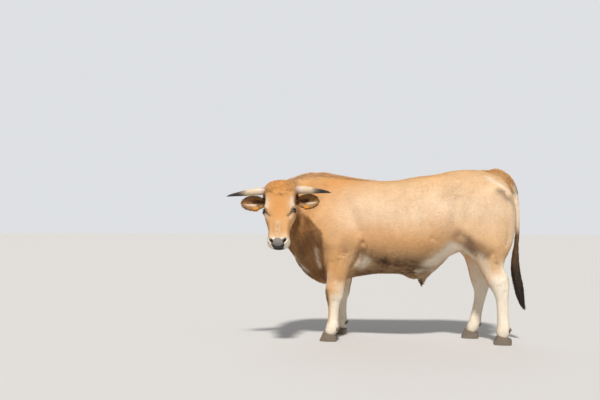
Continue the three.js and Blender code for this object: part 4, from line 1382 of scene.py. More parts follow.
print(len(charts), "charts, map side", round(atlas_side, 2), "m")

# %% [markdown]
# ## The way the hair lies
#
# Hair on cattle runs back along the trunk and slants down the ribs, runs down the legs, down the tail and out
# along the ears. On the face it starts from a whorl between the horns and spreads from there. The field below
# gives that direction at any place; on a root it is then laid flat on the skin.

# %% Direction of the coat
def led(lie, share, goal):
    """lie * (1 - share) + goal * share."""
    return lie * (1 - column(share)) + column(share) * goal


def lie_of(points, normals, ear):
    x, y, z = points.T
    region = region_of(points, ear)
    swirl = ripple(points, 0.3, 11) * 0.22
    lie = np.stack([1 + 0 * x, 0.12 * np.sign(y), -0.34 - 0.3 * fade(0.95, 0.6, z) + swirl], 1)
    lie = led(lie, fade(1.12, 1.4, x) * fade(1.26, 1.0, z), [0.38, 0, -1.0])  # thigh
    lie = led(lie, fade(0.42, 0.28, x) * fade(1.2, 0.7, z), [0.3, 0, -1.0])  # shoulder
    lie = led(lie, fade(0.2, 0.02, x) * fade(-0.3, -0.12, y), [0.25, 0, -1.0])  # chest
    toward_trunk = fade(-0.46, -0.02, y)
    neck = np.stack([0.1 + 0.9 * toward_trunk, 1 - 0.8 * toward_trunk, -0.5 - 0.2 * toward_trunk + swirl], 1)
    lie = led(lie, fade(-0.16, -0.3, y) * (x < 0.3), neck)
    lie = np.where(column(region >= FIRST_LEG), [0.1, 0.0, -1.0], lie)
    lie = np.where(column(region == ON_TAIL), [0.02, 0.0, -1.0], lie)
    d, r, o = to_head(points).T
    spread = np.stack([d - 0.112, 0.9 * r, 0 * r], 1)
    cheek = fade(0.07, 0.11, np.abs(r)) * fade(-0.02, -0.07, o)
    spread = led(unit(spread), cheek, [0.7, 0, -0.7])
    away = np.stack([-0.25 + 0 * r, 6 * r, -0.8 + 0 * r], 1)
    spread = led(unit(spread), fade(0.43, 0.47, d), unit(away))  # nose
    lie = np.where(column(region == ON_HEAD), spread @ HEAD_AXES, lie)
    for number, side in enumerate(SIDES.values(), 1):
        lie = np.where(column(ear == number), ear_frame(side)[1], lie)
    return unit(lie - normals * (lie * normals).sum(1)[:, None])


print("lie on the first points", lie_of(skin_points[:3], skin_normal[:3], ear_of[:3]).round(2).tolist())

# %% [markdown]
# ## Roots
#
# Roots are strewn over the skin by area, more of them where the hair is short. Length, width and rise belong to
# the place: short on the face and legs, longer on the neck, the breast and the belly.

# %% Length, width and rise of the short coat
CORONET_FRONT, CORONET_SLOPE, HOOF_LEAN = 0.08, 0.3, 0.42


def hoof_front(leg):
    return LEGS[leg][4] + stand_off(leg, 0.0)


def coronet_height(points):
    """The height of the line where hair gives way to hoof, by the nearest leg."""
    x, y, _ = points.T
    fronts = np.array([hoof_front(leg) for leg in LEGS])
    number = np.where(x < 0.9, 0, 2) + (y > 0)
    return CORONET_FRONT - CORONET_SLOPE * (x - fronts[number])


def hair_sizes(points, region):
    """Length, width, rise of the tip and share of the skin covered, at each place."""
    z, head = points[:, 2], to_head(points)
    legs, on_head = region >= FIRST_LEG, (region == ON_HEAD) | (region == ON_EARS)
    low_leg = legs * fade(0.48, 0.34, z)
    length = 0.024 + 0.006 * fade(0.8, 0.55, z) + 0.004 * (region == ON_NECK)
    length = np.where(legs, 0.017 - 0.007 * low_leg, length)
    length = np.where(region == ON_TAIL, 0.016, length)
    width = np.where(legs, 0.0028 - 0.0006 * low_leg, 0.0038)
    rise = np.where(legs, 0.0013, 0.0017)
    face = 0.0095 + 0.01 * fade(0.09, 0.03, head[:, 0]) + 0.007 * fade(-0.08, -0.16, head[:, 2])
    length = np.where(region == ON_HEAD, face, np.where(region == ON_EARS, 0.012, length))
    width = np.where(on_head, 0.0024 + 0.06 * (face - 0.0095), width)
    rise = np.where(on_head, 0.0011, rise)
    cover = np.where(region == ON_HEAD, 0.68, np.where(legs, 0.62, 0.58))
    return length, width, rise, cover


SHORT_TUFTS = 155000
face_points = skin_points[skin_faces]
face_middle = face_points.mean(1)
face_ear = ear_of[skin_faces[:, 0]]
face_region = region_of(face_middle, face_ear)
face_area = np.linalg.norm(face_normals(skin_points, skin_faces), axis=1) / 2
length, width, rise, cover = hair_sizes(face_middle, face_region)
weight = face_area * cover / (length * width)
weight *= skin_marks[skin_faces, 3].max(1) < 0.25
weight *= face_middle[:, 2] > coronet_height(face_middle) - 0.004
weight *= ~((face_region == ON_TAIL) & (face_middle[:, 2] < 0.76))
head_root = to_head(face_middle)
weight *= ~((face_region == ON_HEAD) & (head_root[:, 2] < -0.28))
weight[~np.isfinite(weight)] = 0


def strewn(count, weights):
    """Roots on faces picked by weight, at even places inside each face."""
    face = rng.choice(len(weights), count, p=weights / weights.sum())
    a, b = np.sqrt(rng.random(count)), rng.random(count)
    shares = np.stack([1 - a, a * (1 - b), a * b], 1)
    mixed = lambda values: np.einsum("nk,nk...->n...", shares, values[skin_faces[face]])
    roots, normals, ear = mixed(skin_points), unit(mixed(skin_normal)), face_ear[face]
    marks = markings(roots, normals, ear, mixed(ear_share), mixed(ear_u), mixed(ear_out))
    return {"root": roots, "normal": normals, "ear": ear, "marks": marks, "u": mixed(ear_u),
            "share": mixed(ear_share), "out": mixed(ear_out), "uv": unwrapped(roots, normals, ear)}


def some_of(roots, chosen):
    return {key: value[chosen] for key, value in roots.items()}


short = strewn(SHORT_TUFTS, weight)
print("roots", len(short["root"]), "skin area", face_area.sum().round(2), "m2")

# %% [markdown]
# ## Short tufts
#
# A short tuft is the smallest closed shape that still looks like hair: a root, a three-cornered waist and a
# tip, six triangles in all. It lies nearly flat with its tip raised, and bends a little to one side.

# %% Tufts of six triangles
SPINDLE = np.array([[1, 2, 0], [2, 3, 0], [3, 1, 0], [2, 1, 4], [3, 2, 4], [1, 3, 4]])
SPINDLE_MAP = np.array([[0, -0.0014], [-0.0012, -0.0002], [0.0012, -0.0002], [0, 0.0002], [0, 0.0014]])


def spindles(root, normal, lie, length, width, rise, bend):
    """Root, waist of left, right and top, and tip: root + lie * s * length + normal * rise * s."""
    side = np.cross(lie, normal)
    waist = root + lie * column(0.42 * length) + normal * column(0.12 * rise) + side * column(0.3 * bend)
    tip = root + lie * column(length) + normal * column(rise) + side * column(bend)
    half = side * column(width / 2)
    ridge_top = waist + normal * column(0.18 * width)
    points = np.stack([root - normal * 0.0012, waist - half, waist + half, ridge_top, tip], 1)
    faces = SPINDLE[None] + 5 * np.arange(len(root))[:, None, None]
    return points.reshape(-1, 3), faces.reshape(-1, 3)


def hair_object(name, points, faces, marks, shade, uv, normals):
    """A joined mesh of hair with its masks, its shades and its map. It is lit by the normals it is given."""
    mesh = bpy.data.meshes.new(name)
    mesh.vertices.add(len(points))
    mesh.vertices.foreach_set("co", np.ascontiguousarray(points + SHIFT, np.float32).ravel())
    mesh.loops.add(faces.size)
    mesh.loops.foreach_set("vertex_index", np.ascontiguousarray(faces, np.int32).ravel())
    mesh.polygons.add(len(faces))
    mesh.polygons.foreach_set("loop_start", np.arange(0, faces.size, 3, dtype=np.int32))
    mesh.update(calc_edges=True)
    mesh.polygons.foreach_set("use_smooth", np.ones(len(faces), bool))
    layer = mesh.uv_layers.new(name="OFBake")
    layer.data.foreach_set("uv", np.ascontiguousarray(uv[faces.ravel()], np.float32).ravel())
    store(mesh, "marks", "FLOAT_COLOR", marks)
    store(mesh, "shade", "FLOAT", shade)
    store(mesh, "custom_normal", "FLOAT_VECTOR", normals)
    obj = linked(name, mesh)
    mesh.materials.append(tuft_material)
    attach(obj, "root")
    return obj


def turned(lie, normal, angle):
    """A direction turned about the normal by an angle for each root."""
    side = np.cross(normal, lie)
    return lie * np.cos(angle)[:, None] + side * np.sin(angle)[:, None]


def short_coat(name, roots):
    region = region_of(roots["root"], roots["ear"])
    length, width, rise, _ = hair_sizes(roots["root"], region)
    count = len(length)
    length = length * rng.uniform(0.75, 1.2, count)
    width = width * rng.uniform(0.8, 1.25, count)
    rise = rise * rng.uniform(0.45, 1.0, count)
    lie = lie_of(roots["root"], roots["normal"], roots["ear"])
    lie = turned(lie, roots["normal"], rng.normal(0, 0.15, count) + 0.12 * ripple(roots["root"], 0.25, 21))
    bend = length * rng.normal(0, 0.1, count)
    points, faces = spindles(roots["root"], roots["normal"], lie, length, width, rise, bend)
    # a random tone for each tuft, with painted shade: darker at the root, lighter on the ridge and tip
    shade = rng.uniform(0.3, 0.7, count)[:, None] + np.array([-0.06, 0, 0, 0.03, 0.06])
    uv = roots["uv"][:, None] + SPINDLE_MAP
    marks = np.repeat(roots["marks"], 5, axis=0)
    lean = np.cross(lie, roots["normal"])[:, None] * np.array([0, -1, 1, 0, 0])[None, :, None] * 0.3
    lean = lean + lie[:, None] * rng.normal(0, 0.06, count)[:, None, None]
    normals = unit(roots["normal"][:, None] + lean).reshape(-1, 3)
    return hair_object(name, points, faces, marks, shade.ravel(), uv.reshape(-1, 2), normals)


short_region = region_of(short["root"], short["ear"])
for number, title in enumerate(REGIONS):
    chosen = short_region == number
    piece = short_coat("short_coat_" + title, some_of(short, chosen))
    print(piece.name, len(piece.data.polygons), "triangles")

# %% [markdown]
# ## Long locks
#
# Longer hair is made of locks: a path of a few steps with a three-cornered section that narrows to a point.
# The path starts at the root, rises from the skin by an angle, sinks back along the lie and is drawn down by
# its weight, and a wave across it gives the curl.

# %% Locks along paths
def lock_paths(root, normal, lie, length, stand, weight, curl, turns, steps):
    """Steps of length / steps in the direction lie * cos(a) + normal * sin(a), a falling from stand to 0."""
    count = len(root)
    share = np.linspace(0, 1, steps)
    angle = (column(stand) * (1 - 0.75 * share))[..., None]
    direction = lie[:, None] * np.cos(angle) + normal[:, None] * np.sin(angle)
    direction = direction + np.array([0, 0, -1.0]) * (weight * share)[:, None]
    stride = (column(length) / (steps - 1))[..., None]
    path = np.cumsum(unit(direction) * stride, axis=1) - unit(direction)[:, :1] * stride
    side = np.cross(lie, normal)[:, None]
    phase = column(rng.uniform(0, 2 * math.pi, count))
    wave = 2 * math.pi * turns * share + phase
    sway = (np.sin(wave) - np.sin(phase)) * curl * np.minimum(1, 2 * share)
    lift = (np.cos(wave) - np.cos(phase)) * curl * 0.6 * np.minimum(1, 2 * share)
    path = path + side * sway[..., None] + normal[:, None] * np.abs(lift)[..., None]
    return root[:, None] - normal[:, None] * 0.002 + path


def lock_mesh(paths, normal, width):
    """Three corners round each step of every path, narrowing as (1 - s)^0.8, and one point at the tip."""
    count, steps, _ = paths.shape
    along = unit(np.gradient(paths, axis=1))
    side = unit(np.cross(along, normal[:, None]))
    up = np.cross(side, along)
    s = np.linspace(0, 1, steps)[None, :-1]
    half = (column(width) * 0.5 * (1 - s) ** 0.8 * (0.55 + 0.45 * np.minimum(1, 4 * s)))[..., None]
    middle, side, up = paths[:, :-1], side[:, :-1], up[:, :-1]
    corners = np.stack([middle - side * half, middle + side * half, middle + up * half * 0.8], 2)
    points = np.concatenate([corners.reshape(count, -1, 3), paths[:, -1:]], 1)
    one = []
    for j in range(steps - 2):
        a, b, c, d, e, f = (3 * j + k for k in range(6))
        one += [(b, a, d), (b, d, e), (c, b, e), (c, e, f), (a, c, f), (a, f, d)]
    a, b, c, tip = 3 * (steps - 2), 3 * (steps - 2) + 1, 3 * (steps - 2) + 2, 3 * (steps - 1)
    one += [(b, a, tip), (c, b, tip), (a, c, tip), (0, 1, 2)]
    each = 3 * (steps - 1) + 1
    faces = np.array(one)[None] + each * np.arange(count)[:, None, None]
    step, corner = np.divmod(np.arange(each), 3)
    patch = np.stack([np.array([-0.0011, 0.0011, 0])[corner], -0.0014 + 0.0028 * step / (steps - 1)], 1)
    return points.reshape(-1, 3), faces.reshape(-1, 3), patch, each


LONG_COATS = {  # locks, length, width, stand, weight, curl, turns of the curl, steps, spread
    "poll_curls": (2600, 0.031, 0.004, 0.4, 0.12, 0.0032, 1.1, 6, 0.55),
    "horn_root_hair": (420, 0.034, 0.003, 0.12, 0.3, 0.002, 0.7, 5, 0.3),
    "crest_hair": (2800, 0.046, 0.0036, 0.55, 0.2, 0.0034, 0.9, 5, 0.4),
    "tail_head_hair": (1800, 0.038, 0.0036, 0.42, 0.3, 0.003, 0.8, 5, 0.3),
    "belly_hair": (3400, 0.026, 0.003, 0.28, 0.2, 0.0032, 1.1, 5, 0.45),
    "breast_hair": (2000, 0.03, 0.003, 0.22, 0.35, 0.0022, 0.8, 5, 0.25),
    "ear_fringe": (2200, 0.019, 0.002, 0.06, 0.3, 0.0012, 0.6, 5, 0.22),
    "ear_inner_hair": (900, 0.022, 0.002, 0.28, 0.3, 0.0018, 0.7, 5, 0.35),
    "coronet_fringe": (2400, 0.015, 0.002, 0.2, 0.3, 0.0008, 0.6, 4, 0.15),
    "sheath_tuft": (420, 0.03, 0.0026, 0.1, 0.5, 0.0016, 0.8, 6, 0.25),
}


def long_coat(name, roots, lie=None):
    """The locks of a row of the table above, one on each root, along the lie of the coat unless one is given."""
    count, length, width, stand, weight, curl, turns, steps, spread = LONG_COATS[name]
    if lie is None:
        lie = lie_of(roots["root"], roots["normal"], roots["ear"])
    lie = turned(lie, roots["normal"], rng.normal(0, spread, count))
    length = length * rng.uniform(0.65, 1.15, count)
    width = width * rng.uniform(0.7, 1.3, count)
    stand = stand * rng.uniform(0.6, 1.2, count)
    paths = lock_paths(roots["root"], roots["normal"], lie, length, stand, weight, curl, turns, steps)
    points, faces, patch, each = lock_mesh(paths, roots["normal"], width)
    # a random tone for each lock, with painted shade: darker at the root and lighter towards the tip
    shade = rng.uniform(0.35, 0.85, count)[:, None] + np.linspace(-0.1, 0.14, each)
    uv = roots["uv"][:, None] + patch
    marks = np.repeat(roots["marks"], each, axis=0)
    rounded = paths[:, -1:] - paths[:, :1]
    rounded = unit(roots["normal"] + 0.35 * unit(rounded[:, 0]) + 0.25 * rng.normal(size=(count, 3)))
    normals = np.repeat(rounded, each, axis=0)
    return hair_object(name, points, faces, marks, shade.ravel(), uv.reshape(-1, 2), normals)


def long_roots(name, weights):
    return strewn(LONG_COATS[name][0], weights)


def face_weight(mask):
    """Area of the hairy faces, times a mask."""
    return face_area * mask * (skin_marks[skin_faces, 3].max(1) < 0.25)


print("long coats planned", len(LONG_COATS))

# %% [markdown]
# Each long coat has a mask that says where it grows. The poll has curls, dark hair hangs under the horns, the
# crest and the tail head stand up a little, and belly and breast are shaggy.

# %% Poll, horn roots, crest, tail head, belly and breast
fx, fy, fz = face_middle.T
fd, fr, fo = head_root.T
face_up = unit(face_normals(skin_points, skin_faces))

poll = (face_region == ON_HEAD) * fade(0.115, 0.04, fd) * fade(-0.15, -0.09, fo)
poll_roots = long_roots("poll_curls", face_weight(poll * fade(0.13, 0.1, np.abs(fr))))
poll_roots["marks"] *= [1, 0.3, 1, 1]
long_coat("poll_curls", poll_roots)

# dark hair that hangs from under the root of each horn over the base of the ear
horn_root = ((fd - 0.082) / 0.016) ** 2 + ((np.abs(fr) - 0.102) / 0.022) ** 2 + ((fo + 0.07) / 0.03) ** 2
horn_roots = long_roots("horn_root_hair", face_weight(np.exp(-(horn_root**2)) * (face_region == ON_HEAD)))
head_ways = from_head(np.eye(3)) - from_head(np.zeros((1, 3)))
horn_side = np.sign(to_head(horn_roots["root"])[:, 1:2])
horn_lie = unit(head_ways[0] + 0.75 * horn_side * head_ways[1] - 0.3 * head_ways[2])
horn_roots["marks"][:] = [0.3, 0.92, 0.0, 0.0]
long_coat("horn_root_hair", horn_roots, lie=horn_lie)

crest = fade(0.62, 0.35, fx) * fade(0.075, 0.02, np.abs(fy)) * (fz > 1.18) * (fx > -0.02)
crest += (np.abs(fx + 0.06) < 0.05) * (fy < -0.05) * (fy > -0.5) * fade(0.5, 0.9, face_up[:, 2]) * 0.8
crest_roots = long_roots("crest_hair", face_weight(crest * (face_region != ON_HEAD)))
crest_roots["marks"] = crest_roots["marks"] * [0, 0.1, 1, 1] + [0.75, 0, 0.12, 0]
long_coat("crest_hair", crest_roots)

dock = fade(1.36, 1.46, fx) * fade(0.075, 0.03, np.abs(fy)) * (fz > 1.14)
long_coat("tail_head_hair", long_roots("tail_head_hair", face_weight(dock)))

belly = fade(0.64, 0.54, fz) * (fx > 0.45) * (fx < 1.02) * (face_region < 2)
behind_elbow = ((fx - 0.67) / 0.05) ** 2 + ((fz - 0.61) / 0.035) ** 2 < 1
before_sheath = ((fx - 0.91) / 0.07) ** 2 + ((fz - 0.58) / 0.03) ** 2 < 1
belly += 0.8 * behind_elbow + 0.8 * before_sheath
long_coat("belly_hair", long_roots("belly_hair", face_weight(belly * (face_region < FIRST_LEG))))

breast = fade(0.7, 0.5, fz) * (fx < 0.34) * (fx > -0.1) * np.isin(face_region, (4, 5, ON_NECK))
long_coat("breast_hair", long_roots("breast_hair", face_weight(breast)))
print("long coats made")

# %% [markdown]
# Ears carry a fringe along their rims and soft hair that grows out of the hollow. The fringe lies along the
# edge of the leaf towards its tip, and the inner hair leans across the hollow. The same kind of hair closes the
# line above each hoof and hangs from the tip of the sheath.

# %% Fringe of the ears
face_share, face_u = ear_share[skin_faces].mean(1), np.abs(ear_u[skin_faces].mean(1))
rim_weight = face_area * (face_ear > 0) * fade(0.8, 0.97, face_u) * fade(0.1, 0.25, face_share)
rim_roots = long_roots("ear_fringe", rim_weight)
ear_lie = np.zeros_like(rim_roots["root"])
for number, side in enumerate(SIDES.values(), 1):
    _, along, rise_way, back_way = ear_frame(side)
    edge = np.sign(rim_roots["u"])[:, None] * rise_way
    leaning = unit(unit(along) * 1.3 + edge * 0.45 - back_way * 0.3)
    ear_lie = np.where((rim_roots["ear"] == number)[:, None], leaning, ear_lie)
ear_lie = unit(ear_lie - rim_roots["normal"] * (ear_lie * rim_roots["normal"]).sum(1)[:, None] * 0.8)
rim_roots["marks"][:, 1] *= rng.uniform(0.1, 0.7, len(ear_lie))
long_coat("ear_fringe", rim_roots, lie=ear_lie)

inner_weight = face_area * (face_ear > 0) * (ear_out[skin_faces].mean(1) < -0.2) * fade(0.1, 0.25, face_share)
inner_weight *= fade(0.95, 0.7, face_share) * fade(0.95, 0.75, face_u)
long_coat("ear_inner_hair", long_roots("ear_inner_hair", inner_weight))

fringe = np.zeros(len(face_middle), bool)
for leg in LEGS:
    fringe |= in_leg(face_middle, leg, 0.11)
above = face_middle[:, 2] - coronet_height(face_middle)
fringe_roots = long_roots("coronet_fringe", face_weight(fringe * (above > -0.004) * (above < 0.014)))
long_coat("coronet_fringe", fringe_roots)

tip_of_sheath = np.linalg.norm((face_middle - [0.951, 0.0, 0.432]) * [1, 1, 0.7], axis=1)
sheath_roots = long_roots("sheath_tuft", face_area * fade(0.045, 0.018, tip_of_sheath))
down_lie, sheath_normal = np.array([-0.12, 0.0, -1.0]), sheath_roots["normal"]
down_lie = unit(down_lie - sheath_normal * (down_lie * sheath_normal).sum(1)[:, None] * 0.7)
sheath_roots["marks"][:] = [0.3, 0.85, 0.0, 0.0]
long_coat("sheath_tuft", sheath_roots, lie=down_lie)
print("fringes made")

# %% [markdown]
# ## The switch
#
# From about the height of the hocks up to the thigh the tail ends in a brush of long dark hair. Every lock
# starts on the tail's flesh and follows the tail's own path, keeping its share of the brush's radius, so the
# locks fill the brush's outline and close up to one point at the end.

# %% Long locks along the tail
BRUSH_FILL = 0.94  # share of the brush's radius that the locks reach
ROWS_EACH, BEND_STATION = 12, 3
below_bend = smooth_rows(TAIL, ROWS_EACH)[BEND_STATION * ROWS_EACH + 1 :]
tail_by_height = below_bend[np.argsort(below_bend[:, 1])]


def switch_locks(count, steps):
    """Locks from a height to a lower one: tail's path + share of its radius in one direction, and a wave."""
    share = np.linspace(0, 1, steps)
    start = 0.79 - 0.36 * rng.random(count)
    end = np.maximum(start - rng.uniform(0.2, 0.44, count), 0.238 + 0.05 * rng.random(count) ** 2)
    z = column(start) + column(end - start) * share
    x, half, depth = (np.interp(z, tail_by_height[:, 1], tail_by_height[:, k]) for k in (0, 2, 3))
    angle = column(rng.uniform(0, 2 * math.pi, count)) + column(rng.normal(0, 0.5, count)) * share
    filled = column(np.sqrt(rng.uniform(0.05, 1.0, count)))
    # at its root a lock sits on the thin tail, further down it takes its share of the brush
    spread = filled * fade(0, 0.35, share) * BRUSH_FILL
    at_root = 0.9 * np.minimum(0.017, half[:, :1]) / np.maximum(half, 1e-3)
    spread = np.maximum(spread, np.minimum(at_root, BRUSH_FILL) * (1 - fade(0, 0.35, share)))
    wave = 0.0062 * np.sin(z * 55 + column(rng.uniform(0, 6.28, count))) * share
    px = x + depth * spread * np.cos(angle) + wave
    wave = 0.005 * np.sin(z * 47 + column(rng.uniform(0, 6.28, count))) * share
    py = half * spread * np.sin(angle) + wave
    outward = np.stack([np.cos(angle[:, 0]), np.sin(angle[:, 0]), 0 * start], 1)
    return np.stack([px, py, z], 2), outward, start


SWITCH_LOCKS, SWITCH_STEPS = 1200, 12
paths, outward, start = switch_locks(SWITCH_LOCKS, SWITCH_STEPS)
points, faces, patch, each = lock_mesh(paths, outward, rng.uniform(0.0035, 0.0065, SWITCH_LOCKS))
tail_roots = paths[:, 0].copy()
brown = fade(0.64, 0.84, start)[:, None] * np.linspace(1, 0.3, each)[None]
marks = np.stack([0.25 + 0 * brown, 1.0 - 0.35 * brown, 0.15 * brown, 0.7 * (1 - brown)], 2).reshape(-1, 4)
# a random tone for each lock of the switch, with painted shade: darker at the root, lighter at the tip
shade = (rng.uniform(0.05, 0.8, SWITCH_LOCKS)[:, None] + np.linspace(-0.1, 0.1, each)).ravel()
uv = (unwrapped(tail_roots, outward, np.zeros(SWITCH_LOCKS, int))[:, None] + patch).reshape(-1, 2)
side_way = np.cross(outward, [0.0, 0.0, 1.0])
normals = unit(outward + side_way * rng.normal(0, 0.35, (SWITCH_LOCKS, 1)))
switch = hair_object("switch_locks", points, faces, marks, shade, uv, np.repeat(normals, each, axis=0))
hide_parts("tail_switch")
print("switch", len(faces), "triangles, lowest", paths[..., 2].min().round(3))

# %% [markdown]
# The switch needs a darker, glossier hair than the coat, drawn out in fine streaks along each lock.

# %% Dark hair of the switch
switch_material, tree, shader = new_material("switch hair")
place = object_place(tree)
streaks = noise(tree, drawn_out(tree, place, (1.0, 1.0, 0.06)), 240.0, 3.0, 0.6)
masks = add_node(tree, "ShaderNodeAttribute", {"attribute_name": "marks"}).outputs["Color"]
masks = add_node(tree, "ShaderNodeSeparateColor", None, Color=masks).outputs
brownness = between(tree, masks[1], 1.0, 0.75)
dark_hair = blend_colours(tree, streaks, (0.01, 0.006, 0.004, 1), (0.04, 0.021, 0.012, 1))
brown_hair = blend_colours(tree, streaks, (0.1, 0.05, 0.022, 1), (0.22, 0.125, 0.06, 1))
hair_colour = blend_colours(tree, brownness, dark_hair, brown_hair)
light = grey(tree, scaled(tree, number_on(tree, "shade"), 0.8, 0.6))
set_inputs(tree, shader, {"Base Color": blend_colours(tree, 1.0, hair_colour, light, "MULTIPLY"), "Roughness": 0.48})
switch.data.materials[0] = switch_material
print("switch material ready")

# %% [markdown]
# ## Horns
#
# A horn is a sheath of keratin: faint rings near the root, where it grows, and smooth towards the tip. It is
# ivory, mauve-grey in a band at the root and black from about two thirds of its length. The place along the
# horn is stored on its points, and the colours follow that number.

# %% Horn surfaces
HORN_SIDES, HORN_ROWS = 48, 14


def horn_grid(side):
    """A round section along the horn's path, its radius changed by rings that fade away from the root."""
    path, radius = horn_path(side, HORN_ROWS)
    share = np.linspace(0, 1, len(path))
    rings = 0.00045 * np.sin(share * 150) * fade(0.42, 0.05, share)
    rings = rings + 0.0006 * np.exp(-(((share - 0.045) / 0.02) ** 2))
    across, up, _ = path_frames(path, np.array([0.0, 0, 1.0]))
    wide = radius + rings - 0.0002
    two = 2 + 0 * wide
    return section_grid(path, across, up, wide, wide, wide, two, two, HORN_SIDES), share


horn_material, tree, shader = new_material("horn")
place = object_place(tree)
cloudy = noise(tree, place, 26.0, 4.0, 0.6)
fibres = noise(tree, drawn_out(tree, place, (0.08, 1.0, 1.0)), 320.0, 2.0, 0.6)
moved = scaled(tree, maths(tree, "SUBTRACT", cloudy, 0.5), 0.16, number_on(tree, "along"))
ramp = add_node(tree, "ShaderNodeValToRGB", None, Fac=moved)
stops = ramp.color_ramp.elements
HORN_COLOURS = {
    0.05: (0.3, 0.2, 0.2, 1),
    0.13: (0.5, 0.36, 0.33, 1),
    0.22: (0.7, 0.58, 0.44, 1),
    0.46: (0.66, 0.53, 0.36, 1),
    0.58: (0.17, 0.12, 0.085, 1),
    0.67: (0.022, 0.018, 0.016, 1),
}
for position, colour in HORN_COLOURS.items():
    stops.new(position).color = colour
stops.remove(stops[0])
stops.remove(stops[len(stops) - 1])
streaked = blend_colours(tree, fibres, (0.45, 0.42, 0.38, 1), (1, 1, 1, 1))
streaked = blend_colours(tree, 0.3, ramp.outputs["Color"], streaked, "MULTIPLY")
finish(tree, shader, streaked, scaled(tree, cloudy, 0.25, 0.3), bump(tree, 0.3, 0.0008, fibres))


def closed_loft(name, grid, material, node, attribute=None, numbers=None):
    """A closed loft that replaces a node, its faces turned outwards, with a number for each ring if there is one."""
    points, faces = closed_points(grid), closed_faces(grid.shape[0], grid.shape[1])
    obj = new_object(name, points, faces)
    bm = bmesh.new()
    bm.from_mesh(obj.data)
    bmesh.ops.recalc_face_normals(bm, faces=bm.faces)
    bm.to_mesh(obj.data)
    bm.free()
    if attribute:
        store(obj.data, attribute, "FLOAT", np.append(np.repeat(numbers, grid.shape[1]), numbers[[0, -1]]))
    obj.data.materials.append(material)
    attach(obj, "root")
    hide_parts(node)
    return obj


for name, side in SIDES.items():
    grid, share = horn_grid(side)
    closed_loft("horn_sheath_" + name, grid, horn_material, "horn_" + name, "along", share)
print("horns", grid.shape)

# %% [markdown]
# ## Hooves
#
# A cow walks on two claws on each foot, flat below, sloping in front and cut off by the coronet above. Their
# walls show growth rings that run level with the coronet. Behind the fetlock hang two small dewclaws.

# %% Claws and dewclaws
HOOF_LENGTH, HOOF_HALF, CLEFT, HOOF_RISE = 0.132, 0.056, 0.005, 0.09
CLAW_SIDES, CLAW_ROWS = 56, 22
OUTER_HALF = (HOOF_HALF - CLEFT / 2) / 2


def claw_grid(leg, claw_side):
    """Outlines from the sole to the coronet: z = t * (front - slope * s * length) / (1 + slope * t * lean)."""
    side, pattern = LEGS[leg][:2]
    leg_y = pattern[-1, 3]
    t = np.linspace(0, 1, CLAW_ROWS)[:, None]
    angle = (np.arange(CLAW_SIDES) + 0.5) * 2 * math.pi / CLAW_SIDES
    c, s = np.cos(angle)[None], np.sin(angle)[None]
    toe = s > 0
    power = np.where(toe, 2 / 1.7, 2 / 2.6)
    back = 0.5 - 0.5 * np.sign(s) * np.abs(s) ** power  # 0 at the toe, 1 at the heel
    wide = np.sign(c) * np.abs(c) ** power
    lean = HOOF_LEAN + back * (0.04 - HOOF_LEAN)
    z = t * (CORONET_FRONT - CORONET_SLOPE * back * HOOF_LENGTH) / (1 + CORONET_SLOPE * t * lean)
    sole = 1 - 0.05 * fade(0.006, 0.0, z)
    narrow = (1 - 0.16 * z / HOOF_RISE) * sole
    rings = 0.0006 * np.sin(t * 46 + 1.5 * np.sin(t * 9)) * fade(0.02, 0.2, t) * fade(1.0, 0.9, t)
    x = hoof_front(leg) + (0.5 + (back - 0.5) * sole) * HOOF_LENGTH + z * lean + rings * np.where(toe, -1, 0.5)
    inner = leg_y * side + claw_side * CLEFT / 2
    y = inner + claw_side * OUTER_HALF * narrow / np.maximum(sole, 0.1) + wide * (OUTER_HALF * narrow + rings)
    return np.stack([x, np.broadcast_to(y, x.shape), z], 2)


hoof_material, tree, shader = new_material("hoof")
place = object_place(tree)
mottle = noise(tree, place, 38.0, 4.0, 0.65)
wobbled = scaled(tree, mottle, 0.05, number_on(tree, "level"))
bands = scaled(tree, maths(tree, "SINE", maths(tree, "MULTIPLY", wobbled, 62.0)), 0.5, 0.5)
grain = noise(tree, drawn_out(tree, place, (1.0, 1.0, 0.12)), 380.0, 2.0, 0.6)
base = blend_colours(tree, mottle, (0.085, 0.062, 0.045, 1), (0.21, 0.165, 0.12, 1))
base = blend_colours(tree, maths(tree, "MULTIPLY", bands, 0.22), base, (0.3, 0.245, 0.18, 1))
worn = maths(tree, "MULTIPLY", between(tree, wobbled, 0.16, 0.02), 0.65)
base = blend_colours(tree, worn, base, (0.24, 0.19, 0.13, 1))
raised = bump(tree, 0.35, 0.001, scaled(tree, bands, 0.6, grain))
finish(tree, shader, base, scaled(tree, mottle, 0.25, 0.45), raised)

# leg, name of the claw, and the side of its foot that it is on
CLAWS = [(leg, name, LEGS[leg][0] * way) for leg in LEGS for name, way in (("inner", -1), ("outer", 1))]
for leg, name, claw_side in CLAWS:
    grid, levels = claw_grid(leg, claw_side), np.linspace(0, 1, CLAW_ROWS)
    closed_loft(f"claw_wall_{leg}_{name}", grid, hoof_material, f"claw_{leg}_{name}", "level", levels)

DEWCLAW = {"fore": (0.085, 0.334), "hind": (0.1, 1.606)}  # height and back of the fetlock


